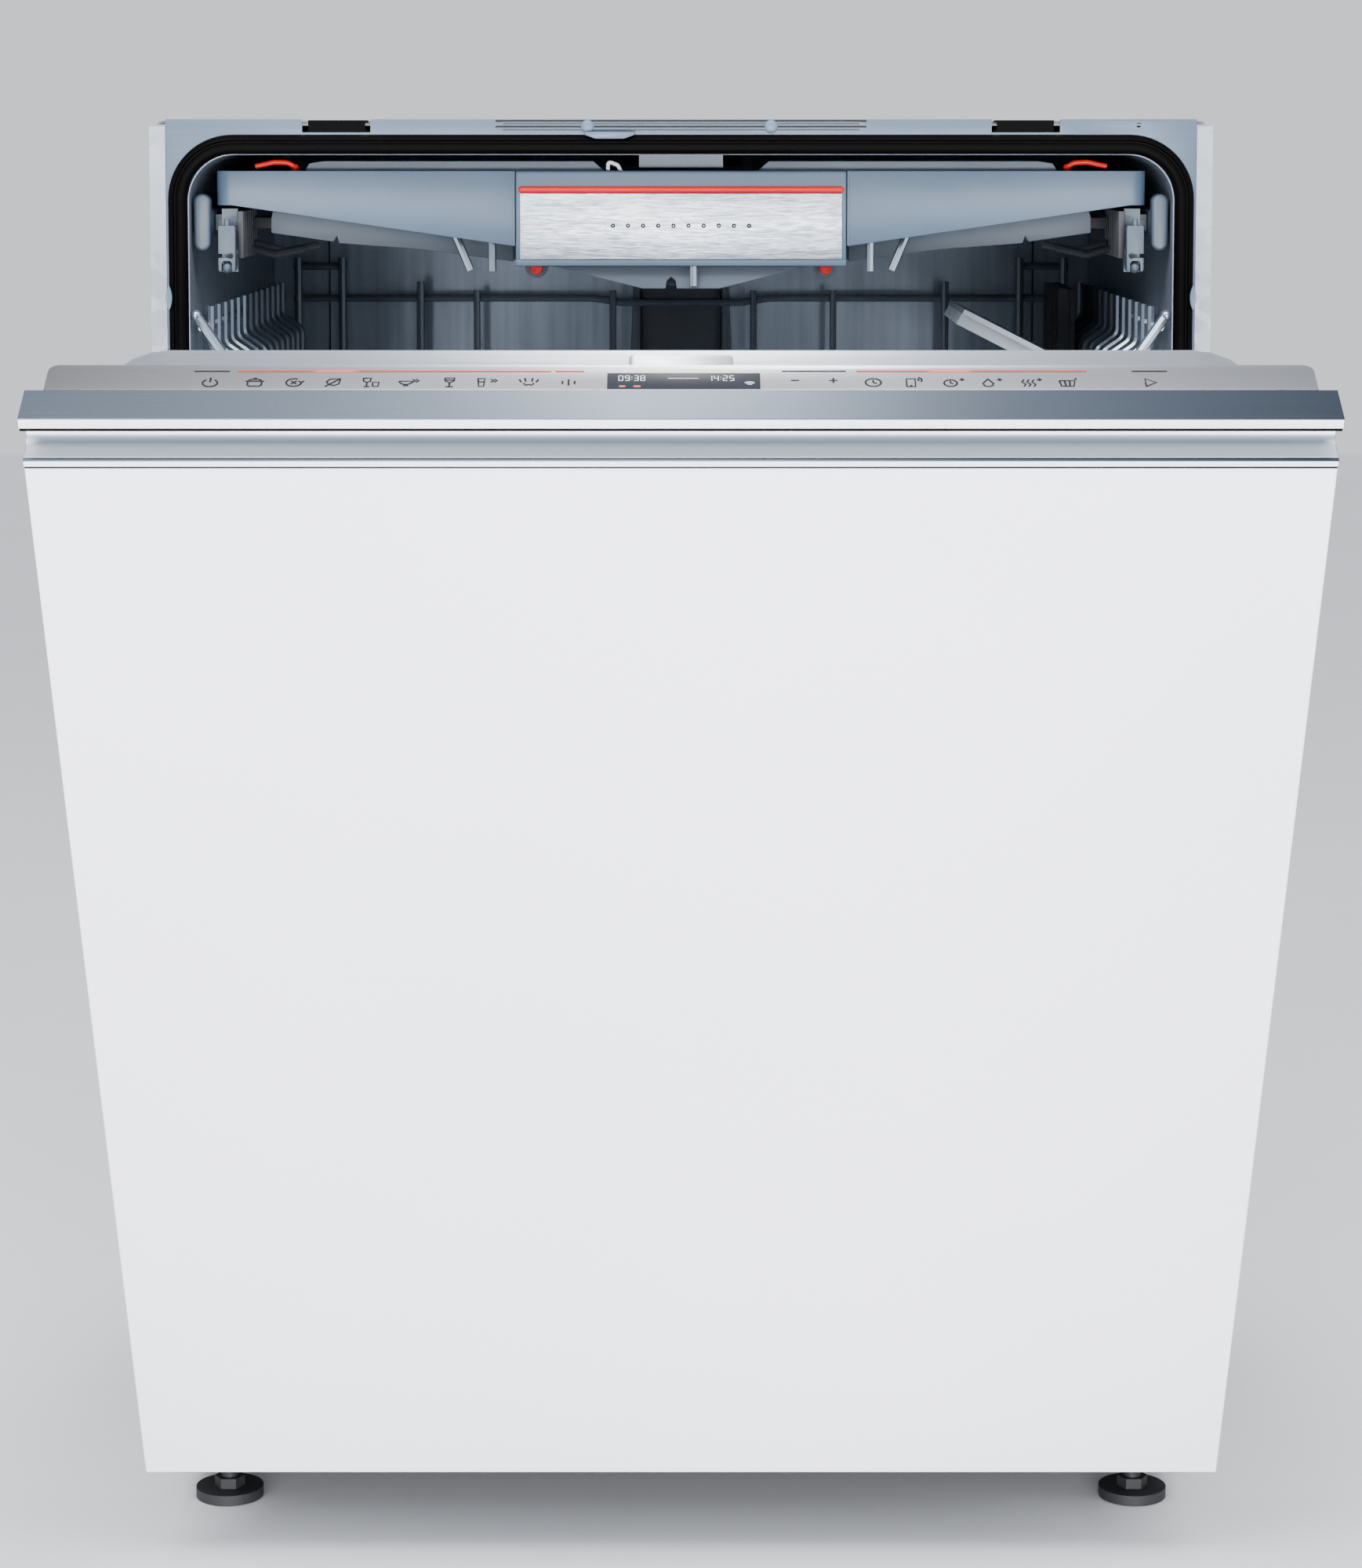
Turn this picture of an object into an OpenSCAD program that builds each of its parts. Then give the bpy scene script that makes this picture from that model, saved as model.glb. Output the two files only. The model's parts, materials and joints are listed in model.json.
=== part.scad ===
// Built in dishwasher, 60 cm, with its door ajar, a cutlery drawer and two baskets.
// X runs across the front, Y from the door to the rear, Z up from the floor.
// The origin is on the floor, midway between the four feet.

/* [Cabinet] */
// Width of the cabinet over its side panels
body_w = 598; // [500:1:720]
// Depth of the cabinet behind the front frame
body_d = 480; // [400:1:580]
// Height of the top of the cabinet above the floor
body_h = 817; // [690:1:980]
// Width of the visible front frame
frame_w = 579; // [482:1:696]
// Depth of the toe recess behind the front frame
toe_d = 38; // [34:1:60]
// Height of the base tray
base_h = 126; // [110:1:140]
// Height of the base tray above the floor
foot_gap = 22; // [12:1:60]
// Radius of a foot pad
foot_r = 20; // [14:1:26]

/* [Tub] */
// Gap from the cabinet side to the inside of the tub
tub_side = 21.6; // [20:0.2:34]
// Gap from the cabinet top to the inside of the tub
tub_top_gap = 19; // [16:0.5:30]
// Gap from the cabinet rear to the inside of the tub
tub_rear_gap = 25; // [18:0.5:50]
// Corner radius of the tub
tub_r = 27; // [20:1:34]
// Thickness of the tub sheet
sheet = 1; // [0.6:0.1:1.6]
// Width of the door gasket round the opening
gasket_w = 10.5; // [7:0.5:11]
// Radius of the sump
sump_r = 100; // [84:1:112]

/* [Door] */
// Angle that the door stands open
door_angle = 30; // [0:1:60]
// Thickness of the furniture front
front_t = 20; // [16:0.5:24]
// Width of the furniture front
front_w = 602; // [520:1:730]
// Height of the white furniture front
front_h = 692; // [575:1:740]
// Height of the handle profile on top of the front
handle_h = 28; // [24:0.5:34]
// Width of the control panel
control_w = 585; // [488:1:700]
// Visible depth of the control panel
control_d = 20.7; // [17:0.1:25]
// Height of the control panel
control_h = 72; // [60:1:86]
// Depth of the door from its outer sheet to its inner face
door_d = 66.5; // [60:0.5:74]
// Radius of the hinge pins
pin_r = 4; // [3:0.1:5]

/* [Cutlery drawer] */
// Width of the cutlery drawer front
drawer_w = 529; // [440:1:534]
// Width of the middle housing of the drawer
housing_w = 188; // [150:1:226]
// Height of the drawer front at its middle
drawer_h = 54; // [45:0.5:60]
// Height of the drawer front at its outer ends
wing_h = 19.5; // [16:0.5:24]
// Length that the drawer slides in front of the ajar door
drawer_travel = 400; // [200:1:420]

/* [Baskets] */
// Thickness of the basket wires
wire = 4.6; // [3.8:0.1:5.6]
// Height of the upper basket
upper_h = 136; // [113:1:150]
// Height of the lower basket
lower_h = 150; // [125:1:180]
// Step from the upper to the lower part of the side wires
side_step = 13; // [8:0.5:16]
// Reach of the front cup shelf from its pivot
shelf_reach = 90; // [70:1:96]
// Angle that the front cup shelf leans from upright
shelf_tilt = 63; // [30:1:90]
// Radius of a basket wheel
wheel_r = 15; // [12:0.5:18]
// Reach of the lower spray arm
lower_reach = 205; // [160:1:214]
// Reach of the upper spray arm
upper_reach = 195; // [160:1:205]

/* [Fits] */
// Radial clearance of a running fit
run_c = 0.05; // [0.02:0.01:0.1]
// Gap between neighbouring pieces
gap = 0.5; // [0.3:0.1:0.8]
// Gap between the wires of a basket where they are welded
weld = 0.02; // [0.01:0.01:0.05]

/* [Hidden] */
$fn = 48;
eps = 0.01;
front_y = -body_d / 2;
rear_y = body_d / 2;
side_x = body_w / 2;
frame_x = frame_w / 2;
tub_x = side_x - tub_side;
tub_z1 = body_h - tub_top_gap;
tub_z0 = foot_gap + base_h + 2;
tub_y1 = rear_y - tub_rear_gap;
mid_y = (front_y + tub_y1) / 2;
panel_t = 1.2;
frame_t = 1.5;
frame_z0 = tub_z0 - 9;
gasket_front = 6;
gasket_r = tub_r + gasket_w - 1;

// Door, measured with the door closed
pivot_y = front_y - 8;
pivot_z = tub_z0 - 17;
pin_x = frame_x + 4;
inner_y = front_y - 7;
shell_y = inner_y - door_d;
front_y0 = shell_y - gap - front_t;
front_z1 = body_h - handle_h;
front_z0 = front_z1 - front_h;
shell_x = frame_x - 4.5;
shell_z0 = pivot_z - 17;
shell_z1 = body_h - control_h - gap;
liner_x = tub_x + 2.6;
liner_z1 = tub_z1 + 1;
liner_z0 = pivot_z + 4;
liner_r = tub_r + 11;
liner_d = 42;
control_y0 = shell_y + 1.5;
control_y1 = control_y0 + control_d;
dispenser_x = 92;
dispenser_z = (liner_z0 + liner_z1) / 2 + 5;
lid_travel = 42;

// Cutlery drawer
drawer_z1 = tub_z1 - 10.2;
drawer_z0 = drawer_z1 - drawer_h;
drawer_y0 = front_y + 20;
drawer_y1 = tub_y1 - 28;
drawer_x = drawer_w / 2;
wing_in_z = drawer_z0 + 11.5;
wing_x0 = housing_w / 2 + 0.7;
wall = 2;
tray_x = drawer_x - 4;
tray_y0 = drawer_y0 + 22.5;
tray_y1 = drawer_y1 - 3;
bar_n = 7;
bar_gap = 6;
comb_n = 14;
mark_n = 10;
mark_pitch = 8.6;

// Baskets
upper_x = tub_x - 9.4;
upper_z1 = drawer_z1 - 81.8;
upper_z0 = upper_z1 - upper_h;
upper_y0 = front_y + 14;
upper_y1 = tub_y1 - 22;
upper_n = 13;
shelf_x = upper_x - side_step - 9;
rod_share = [-0.855, -0.659, -0.515, -0.172, 0.183, 0.384, 0.666, 0.855];
arm_t = 13;
feed_z1 = upper_z0 - 1.5 * wire - 2 * gap;
feed_z0 = feed_z1 - 13;
hub_r = 12;
lower_z0 = tub_z0 + 55;
lower_z1 = lower_z0 + lower_h;
lower_x = tub_x - 16;
lower_y0 = front_y + 42;
lower_y1 = tub_y1 - 22;
wheel_w = 9;
wheel_gap = 8;
wheel_x = tub_x - tub_r - wheel_gap - wheel_w;
wheel_z = tub_z0 + wheel_r + 0.3;
axle_r = 3;
wheel_y = [mid_y - 135, mid_y + 135];
tine_n = 9;

// Rails
rail_x = tub_x - 5.4;
pill_x = tub_x - 6.2;
pill_r = 4.6;
runner_x = pill_x - pill_r - gap;
drawer_rail_z = drawer_z1 - 29;
upper_rail_z = upper_z0 + 44;

// Spray and base
duct_x = 27;
duct_y0 = tub_y1 - 14;
duct_z1 = upper_z1;
arm_z = tub_z0 + 20;
filter_r = 30;
filter_y = mid_y - (sump_r - filter_r - 17);
salt_pos = [-tub_x * 0.62, front_y + 110];
foot_x = side_x - 30;
foot_y = rear_y - 62;
bolt_x = 193.5 / 299 * side_x;

// ---------- helpers ----------
// Extrudes an outline drawn in X and Z from y0 to y1
module along_y(y0, y1) {
  translate([0, y1, 0]) rotate([90, 0, 0]) linear_extrude(y1 - y0) children();
}

// Extrudes an outline drawn in Y and Z from x0 to x1
module along_x(x0, x1) {
  translate([x0, 0, 0]) rotate([90, 0, 90]) linear_extrude(x1 - x0) children();
}

module box(x0, x1, y0, y1, z0, z1) {
  translate([x0, y0, z0]) cube([x1 - x0, y1 - y0, z1 - z0]);
}

module rod_x(x0, x1, y, z, r) {
  translate([x0, y, z]) rotate([0, 90, 0]) cylinder(r = r, h = x1 - x0);
}

module rod_y(x, y0, y1, z, r) {
  translate([x, y1, z]) rotate([90, 0, 0]) cylinder(r = r, h = y1 - y0);
}

module both_sides() {
  children();
  mirror([1, 0, 0]) children();
}

// Rectangle from -x to x with four round corners
module round_rect(x, z0, z1, r) {
  translate([-x + r, z0]) square([2 * x - 2 * r, z1 - z0]);
  translate([-x, z0 + r]) square([2 * x, z1 - z0 - 2 * r]);
  for (sx = [-1, 1], z = [z0 + r, z1 - r])
    translate([sx * (x - r), z]) circle(r);
}

// Rectangle from -x to x whose two top corners are round
module arch_rect(x, z0, z1, r) {
  translate([-x + r, z0]) square([2 * x - 2 * r, z1 - z0]);
  translate([-x, z0]) square([2 * x, z1 - z0 - r]);
  for (sx = [-1, 1])
    translate([sx * (x - r), z1 - r]) circle(r);
}

// Turns a piece drawn with the door closed to where the door stands
module on_door() {
  translate([0, pivot_y, pivot_z])
    rotate([door_angle, 0, 0])
      translate([0, -pivot_y, -pivot_z]) children();
}

// ---------- cabinet ----------
module tub() {
  color("slategray") difference() {
    along_y(front_y + frame_t, tub_y1 + sheet)
      round_rect(tub_x + sheet, tub_z0 - sheet, tub_z1 + sheet, tub_r + sheet);
    along_y(front_y, tub_y1)
      round_rect(tub_x, tub_z0, tub_z1, tub_r);
    translate([0, mid_y, tub_z0 - 5]) cylinder(r = sump_r - 8, h = 10);
    translate([salt_pos[0], salt_pos[1], tub_z0 - 5]) cylinder(r = 28, h = 10);
  }
}

module bracket_notch(x) {
  box(x - 19.2, x + 19.2, front_y - 1, front_y + frame_t + 1, body_h - 7.4, body_h + 1);
}

module front_frame() {
  color("lightsteelblue") {
    difference() {
      along_y(front_y, front_y + frame_t)
        translate([-frame_x, frame_z0]) square([frame_w, body_h - frame_z0]);
      along_y(front_y - 1, front_y + frame_t + 1)
        round_rect(tub_x, tub_z0, tub_z1, tub_r);
      bracket_notch(bolt_x);
      bracket_notch(-bolt_x);
      rod_y(tub_x * 0.926, front_y - 1, front_y + 4, body_h - 3.2, 1.5);
    }
    box(-frame_x, frame_x, front_y + frame_t, front_y + 30, body_h - 9.2, body_h - 8);
    for (x = [-52.5, 50.5])
      rod_y(x, front_y - 0.8, front_y, body_h - 4, 3.8);
    box(-9, 9, front_y - 13, front_y, tub_z1 + gasket_w + gap, tub_z1 + gasket_w + 3);
    box(-9, 9, front_y - 13, front_y - 9, liner_z1 + 4.5, tub_z1 + gasket_w + 3);
  }
}

module door_gasket() {
  color("black") difference() {
    along_y(front_y - gasket_front, front_y)
      arch_rect(tub_x + gasket_w, frame_z0 + 8, tub_z1 + gasket_w - 1, gasket_r);
    along_y(front_y - gasket_front - 1, front_y + 1)
      arch_rect(tub_x, frame_z0, tub_z1, tub_r);
    both_sides()
      box(frame_x - 4.2, frame_x, front_y - gasket_front - 1, front_y + 1, tub_z1 - 90, tub_z1 - 72);
  }
}

module lower_seal() {
  color("black")
    box(-tub_x + gap, tub_x - gap, front_y - gasket_front, front_y - gap, tub_z0 - 4, tub_z0 + 1);
}

module base_tray() {
  color("dimgray") difference() {
    union() {
      difference() {
        box(-side_x + 2, side_x - 2, front_y + toe_d, rear_y - 2, foot_gap, foot_gap + base_h);
        box(-side_x + 5, side_x - 5, front_y + toe_d + 3, rear_y - 5, foot_gap + 3, foot_gap + base_h + 1);
      }
      for (sx = [-1, 1], sy = [-1, 1])
        translate([sx * foot_x, sy * foot_y, foot_gap]) cylinder(r = 14, h = 34);
    }
    for (sx = [-1, 1], sy = [-1, 1])
      translate([sx * foot_x, sy * foot_y, foot_gap - 1]) cylinder(r = 5.4, h = 36);
    rod_y(-side_x * 0.72, rear_y - 8, rear_y, foot_gap + 70, 16);
    rod_y(-side_x * 0.55, rear_y - 8, rear_y, foot_gap + 70, 13);
    box(side_x * 0.6 - 17, side_x * 0.6 + 17, rear_y - 8, rear_y, foot_gap + 57, foot_gap + 83);
  }
}

module side_panels() {
  color("silver") both_sides() {
    box(side_x - panel_t, side_x, front_y + 3, rear_y, pivot_z - 24, body_h - 4);
    box(side_x - panel_t, side_x, front_y + toe_d, rear_y, foot_gap + 12, pivot_z - 23);
    box(frame_x + gap, side_x - panel_t, front_y + 3, front_y + 3 + panel_t, tub_z0 + 8, body_h - 4);
  }
}

module rear_panel() {
  color("silver") difference() {
    box(-side_x + panel_t + gap, side_x - panel_t - gap, rear_y - panel_t, rear_y,
      foot_gap + base_h + 4, body_h - 4);
    for (x = [-1, 1], k = [0 : 4])
      box(x * 120 - 30, x * 120 + 30, rear_y - 2, rear_y + 1, body_h - 90 - 14 * k, body_h - 84 - 14 * k);
  }
}

module top_cover() {
  color("silver")
    box(-side_x, side_x, front_y + 30 + gap, rear_y, body_h - 3, body_h - 1);
}

module insulation() {
  color("darkslategray") difference() {
    along_y(front_y + 40, tub_y1 - 6)
      arch_rect(tub_x + 7, tub_z0 + 30, tub_z1 + 8, tub_r + 7);
    along_y(front_y + 39, tub_y1)
      arch_rect(tub_x + sheet + gap, tub_z0 + 20, tub_z1 + sheet + gap, tub_r + sheet + gap);
  }
}

module plinth_plate() {
  color("gray") difference() {
    box(-side_x + 3, side_x - 3, front_y + toe_d - 2, front_y + toe_d - gap, foot_gap + 3, foot_gap + 84);
    for (sx = [-1, 1])
      rod_y(sx * (side_x - 40), front_y + toe_d - 5, front_y + toe_d + 1, foot_gap + 60, 2.2);
  }
}

module feet() {
  color("dimgray")
    for (sx = [-1, 1], sy = [-1, 1])
      translate([sx * foot_x, sy * foot_y, 0]) {
        cylinder(r = foot_r, h = 6);
        cylinder(r = 9, h = 12, $fn = 6);
        cylinder(r = 5, h = foot_gap + 26);
      }
}

module hinge_brackets() {
  color("silver") both_sides() difference() {
    union() {
      box(pin_x - 1.5, pin_x + 1.5, pivot_y - 12, front_y + toe_d - 3, pivot_z - 12, pivot_z + 12);
      box(pin_x - 1.5, side_x - panel_t - gap, front_y + 10, front_y + toe_d - 3,
        pivot_z - 12, pivot_z - 10);
    }
    rod_x(pin_x - 5, pin_x + 5, pivot_y, pivot_z, pin_r + run_c);
  }
}

module balance_springs() {
  color("silver") both_sides() {
    for (k = [0 : 11])
      translate([side_x - 17, mid_y - 60 + k * 9, foot_gap + 84])
        rotate([90, 0, 0]) cylinder(r = 8, h = 5);
    rod_y(side_x - 17, front_y + toe_d + 8, mid_y + 70, foot_gap + 84, 3);
  }
}

// ---------- water parts ----------
module sump() {
  color("gainsboro") difference() {
    union() {
      translate([0, mid_y, tub_z0 + 0.2]) cylinder(r = sump_r, h = 2);
      translate([0, mid_y, tub_z0 - 86]) cylinder(r = sump_r - 9, h = 87);
    }
    difference() {
      translate([0, mid_y, tub_z0 - 83]) cylinder(r = sump_r - 12, h = 100);
      translate([0, mid_y, tub_z0 - 84]) cylinder(r = 15, h = 120);
    }
  }
  color("gainsboro") difference() {
    translate([0, mid_y, tub_z0 - 84]) cylinder(r = 15, h = 84 + 44);
    translate([0, mid_y, tub_z0 - 60]) cylinder(r = 10, h = 140);
  }
}

module filter_plate() {
  color("silver") difference() {
    translate([0, mid_y, tub_z0 + 2.4]) cylinder(r = sump_r - 4, h = 1.6);
    translate([0, mid_y, tub_z0]) cylinder(r = 16, h = 8);
    translate([0, filter_y, tub_z0]) cylinder(r = filter_r + run_c, h = 8);
  }
}

module filter_cup() {
  color("darkgray") difference() {
    union() {
      translate([0, filter_y, tub_z0 - 70]) cylinder(r = filter_r, h = 78);
      translate([0, filter_y, tub_z0 + 4.5]) cylinder(r = filter_r + 4, h = 3.5);
      box(-4, 4, filter_y - 24, filter_y + 10, tub_z0 - 68, tub_z0 + 16);
    }
    difference() {
      translate([0, filter_y, tub_z0 - 67]) cylinder(r = filter_r - 2.5, h = 100);
      box(-4, 4, filter_y - 24, filter_y + 10, tub_z0 - 69, tub_z0 + 16);
    }
  }
}

module circulation_pump() {
  color("dimgray") {
    rod_x(sump_r + 20, sump_r + 100, mid_y + 60, foot_gap + 55, 36);
    rod_x(sump_r + 100, sump_r + 118, mid_y + 60, foot_gap + 55, 14);
    rod_x(sump_r - 8, sump_r + 20, mid_y + 20, foot_gap + 60, 15);
    rod_y(sump_r + 34, mid_y + 10, mid_y + 60, foot_gap + 62, 12);
  }
}

module drain_pump() {
  color("darkolivegreen") {
    rod_x(-sump_r - 62, -sump_r - 20, mid_y + 40, foot_gap + 44, 24);
    rod_x(-sump_r - 20, -sump_r + 8, mid_y + 30, foot_gap + 44, 10);
  }
}

module flow_heater() {
  color("silver") difference() {
    rod_x(sump_r + 24, sump_r + 84, mid_y + 60, foot_gap + 55, 42);
    rod_x(sump_r + 20, sump_r + 90, mid_y + 60, foot_gap + 55, 36 + gap);
    box(sump_r + 20, sump_r + 50, mid_y + 4, mid_y + 40, foot_gap + 40, foot_gap + 84);
  }
}

module salt_container() {
  color("whitesmoke") translate([salt_pos[0], salt_pos[1], 0]) difference() {
    union() {
      translate([0, 0, foot_gap + 26]) cylinder(r = 62, h = 92);
      translate([0, 0, foot_gap + 100]) cylinder(r = 27, h = tub_z0 + 6 - foot_gap - 100);
    }
    translate([0, 0, foot_gap + 29]) cylinder(r = 59, h = 86);
    translate([0, 0, foot_gap + 100]) cylinder(r = 24, h = 80);
  }
}

module salt_cap() {
  color("lightgray") translate([salt_pos[0], salt_pos[1], 0]) {
    translate([0, 0, tub_z0 - 10]) cylinder(r = 24 - run_c, h = 17);
    translate([0, 0, tub_z0 + 6.4]) cylinder(r = 31, h = 5);
    translate([-24, -4, tub_z0 + 11]) cube([48, 8, 4]);
  }
}

module water_guide() {
  color("ivory")
    box(-side_x + panel_t + gap, -tub_x - 8, mid_y - 150, mid_y + 150, tub_z0 + 60, tub_z0 + 460);
}

module rear_duct() {
  color("darkslategray") difference() {
    union() {
      box(-duct_x, duct_x, duct_y0, tub_y1 - gap, tub_z0 + 6, duct_z1);
      rod_y(0, duct_y0 - 6, duct_y0 + 1, (feed_z0 + feed_z1) / 2, 12);
    }
    rod_y(0, duct_y0 - 8, duct_y0 + 6, (feed_z0 + feed_z1) / 2, 7.4);
  }
}

module ceiling_duct() {
  color("lightslategray") {
    box(-24, 24, front_y + 40, tub_y1 - gap, tub_z1 - 8.5, tub_z1 - 0.3);
    translate([0, mid_y, tub_z1 - 9.5]) cylinder(r = 38, h = 9);
  }
}

module inlet_valve() {
  color("whitesmoke") {
    translate([-side_x * 0.72, 0, foot_gap + 70]) {
      rod_y(0, rear_y - 40, rear_y + 12, 0, 13.2);
      box(-22, 22, rear_y - 80, rear_y - 36, -22, 26);
    }
  }
}

module drain_connector() {
  color("dimgray") translate([-side_x * 0.55, 0, foot_gap + 70]) difference() {
    rod_y(0, rear_y - 40, rear_y + 10, 0, 10);
    rod_y(0, rear_y - 41, rear_y + 11, 0, 7.5);
  }
}

module power_inlet() {
  color("black") translate([side_x * 0.6, 0, foot_gap + 70]) difference() {
    box(-16, 16, rear_y - 34, rear_y - 1, -12, 12);
    box(-12.5, 12.5, rear_y - 22, rear_y, -8.5, 8.5);
  }
}

module worktop_brackets() {
  color("silver") for (sx = [-1, 1]) translate([sx * bolt_x, 0, 0]) difference() {
    union() {
      box(-16, 16, front_y + 2.5, front_y + 28, body_h - 7.4, body_h - 5.9);
      box(-16, 16, front_y + 2.5, front_y + 4, body_h - 7.4, body_h - 0.5);
      box(-16, 16, front_y + 2.5, front_y + 26, body_h - 2, body_h - 0.5);
    }
    translate([0, front_y + 15, body_h - 3]) cylinder(r = 2.25, h = 4);
  }
}

// Thin lens in X and Z, the outline of a side fixing cap
module cap_outline(grow) {
  r = 14.45;
  translate([frame_x - 1.9, tub_z1 - 81]) intersection() {
    translate([r - 1.7 - grow, 0]) circle(r);
    translate([-r + 1.7 + grow, 0]) circle(r);
  }
}

module fixing_caps() {
  color("gainsboro") both_sides()
    along_y(front_y - 3, front_y - eps) cap_outline(0);
}

module tub_rails() {
  color("lightslategray") both_sides() {
    box(pill_x - pill_r, tub_x - 0.3, front_y + 24, drawer_y1, drawer_rail_z - 7, drawer_rail_z + 7);
    along_y(front_y + 14, front_y + 25)
      translate([pill_x, 0]) round_rect(pill_r, drawer_rail_z - 16, drawer_rail_z + 16, pill_r - 0.1);
    box(rail_x, tub_x - 0.3, upper_y0 + 6, upper_y1 - 8, upper_rail_z - 9, upper_rail_z + 9);
  }
}

// ---------- door ----------
module door_shell() {
  color("gainsboro") on_door() difference() {
    box(-shell_x, shell_x, shell_y, inner_y - 6, shell_z0, shell_z1);
    box(-shell_x + 1, shell_x - 1, shell_y + 1, inner_y, shell_z0 + 1, shell_z1 + 1);
    box(-liner_x - 1, liner_x + 1, inner_y - liner_d - 2, inner_y, liner_z0 - 1, shell_z1 + 1);
    for (sx = [-1, 1], z = [0.25, 0.75])
      rod_y(sx * (shell_x - 40), shell_y - 1, shell_y + 3, shell_z0 + z * (shell_z1 - shell_z0), 2.6);
  }
}

module inner_liner() {
  color("silver") on_door() difference() {
    along_y(inner_y - liner_d, inner_y)
      round_rect(liner_x, liner_z0, liner_z1, liner_r);
    along_y(inner_y - liner_d - 1, inner_y - sheet)
      round_rect(liner_x - sheet, liner_z0 + sheet, liner_z1 - sheet, liner_r - sheet);
    box(-dispenser_x - gap, dispenser_x + gap, inner_y - 5, inner_y + 1,
      dispenser_z - 66 - gap, dispenser_z + 66 + gap);
  }
}

module control_panel() {
  color("silver") on_door() difference() {
    box(-control_w / 2, control_w / 2, control_y0, control_y1, body_h - control_h, body_h);
    box(-control_w / 2 + 2, control_w / 2 - 2, control_y0 + 1.5, control_y1 - 1.5,
      body_h - control_h - 1, body_h - 2);
    box(-35 - 0.2, 35 + 0.2, control_y0 + 0.6, control_y0 + 13.4 + 0.2, body_h - 3, body_h + 1);
  }
}

module display_window() {
  color("black") on_door()
    box(-35, 35, control_y0 + 0.8, control_y0 + 13.4, body_h - 1.9, body_h - 0.1);
}

module control_board() {
  color("darkgreen") on_door() {
    box(-150, 150, control_y0 + 3, control_y1 - 3, body_h - control_h + 12, body_h - 14);
    box(-30, 30, control_y0 + 3, control_y1 - 5, body_h - 15, body_h - 3.5);
  }
}

module door_latch() {
  color("silver") on_door() {
    box(-25, 25, inner_y - 40, inner_y - 1, liner_z1 + 0.1, liner_z1 + 2.4);
    box(-7, 7, inner_y - 24, inner_y - 12, liner_z1 + 2, liner_z1 + 8);
  }
}

module dispenser() {
  color("lightgray") on_door() difference() {
    box(-dispenser_x, dispenser_x, inner_y - 34, inner_y - 0.2, dispenser_z - 66, dispenser_z + 66);
    box(-dispenser_x + 12, 8, inner_y - 26, inner_y + 1, dispenser_z - 30, dispenser_z + 48);
    rod_y(dispenser_x - 36, inner_y - 26, inner_y + 1, dispenser_z + 24, 20 + run_c);
  }
}

module dispenser_lid() {
  color("whitesmoke") on_door()
    box(-dispenser_x + 6, 14, inner_y + 0.2, inner_y + 3.4, dispenser_z - 36, dispenser_z + 54);
}

module rinse_cap() {
  color("steelblue") on_door() {
    rod_y(dispenser_x - 36, inner_y - 14, inner_y + 0.5, dispenser_z + 24, 20);
    rod_y(dispenser_x - 36, inner_y + 0.4, inner_y + 3.4, dispenser_z + 24, 24);
    translate([dispenser_x - 36, inner_y + 5, dispenser_z + 24]) cube([34, 6, 6], center = true);
  }
}

module furniture_front() {
  color("white") on_door() difference() {
    box(-front_w / 2, front_w / 2, front_y0, front_y0 + front_t, front_z0, front_z1 - 0.2);
    for (sx = [-1, 1], z = [0.25, 0.75])
      rod_y(sx * (shell_x - 40), front_y0 + front_t - 12, front_y0 + front_t + 1,
        shell_z0 + z * (shell_z1 - shell_z0), 2.1);
  }
}

// Section of the handle profile in Y and Z: a top plate with a lip, a finger recess and a lower lip
module handle_section() {
  y0 = front_y0;
  y1 = front_y0 + front_t;
  difference() {
    polygon([
      [y0 - 2, body_h], [y0 - 2, body_h - 5.5], [y0, body_h - 7], [y0, front_z1],
      [y1, front_z1], [y1, body_h]
    ]);
    translate([y0 - 3, front_z1 + 4]) square([10, handle_h - 11]);
    translate([y0 + 7, front_z1 + 4 + (handle_h - 11) / 2]) circle((handle_h - 11) / 2);
  }
}

module handle_profile() {
  color("silver") on_door()
    along_x(-front_w / 2, front_w / 2) handle_section();
}

module hinge_arms() {
  color("gray") on_door() both_sides() {
    box(shell_x + 0.3, pin_x - 2.2, pivot_y - 52, pivot_y + 7, pivot_z - 7, pivot_z + 7);
    box(shell_x + 0.3, pin_x - 2.2, pivot_y - 52, pivot_y - 36, pivot_z - 7, pivot_z + 180);
    rod_x(shell_x + 1, pin_x + 3, pivot_y, pivot_z, pin_r);
  }
}

module front_screws() {
  color("gold") on_door() for (sx = [-1, 1], z = [0.25, 0.75])
    translate([sx * (shell_x - 40), 0, shell_z0 + z * (shell_z1 - shell_z0)]) {
      rod_y(0, shell_y - gap - 10, shell_y + 4, 0, 2);
      rod_y(0, shell_y + 1 + eps, shell_y + 4, 0, 4.5);
    }
}

// ---------- cutlery drawer ----------
// Outline of one wing in X and Z, from its inner to its outer end
module wing_outline(grow) {
  x0 = wing_x0 - grow;
  x1 = drawer_x + grow;
  polygon([
    [x0, drawer_z1 + grow], [x1, drawer_z1 + grow], [x1, drawer_z1 - wing_h - grow],
    [x0, wing_in_z - grow]
  ]);
}

module drawer_wings() {
  color("lightslategray") both_sides()
    along_y(drawer_y0 + 3, drawer_y0 + 7) wing_outline(0);
}

module drawer_housing() {
  color("lightslategray") {
    box(-housing_w / 2, housing_w / 2, drawer_y0 + 2, drawer_y0 + 22, drawer_z0, drawer_z1);
    box(-housing_w / 2, housing_w / 2, drawer_y0, drawer_y0 + 3, drawer_z0, drawer_z0 + 3.8);
  }
}

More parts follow.
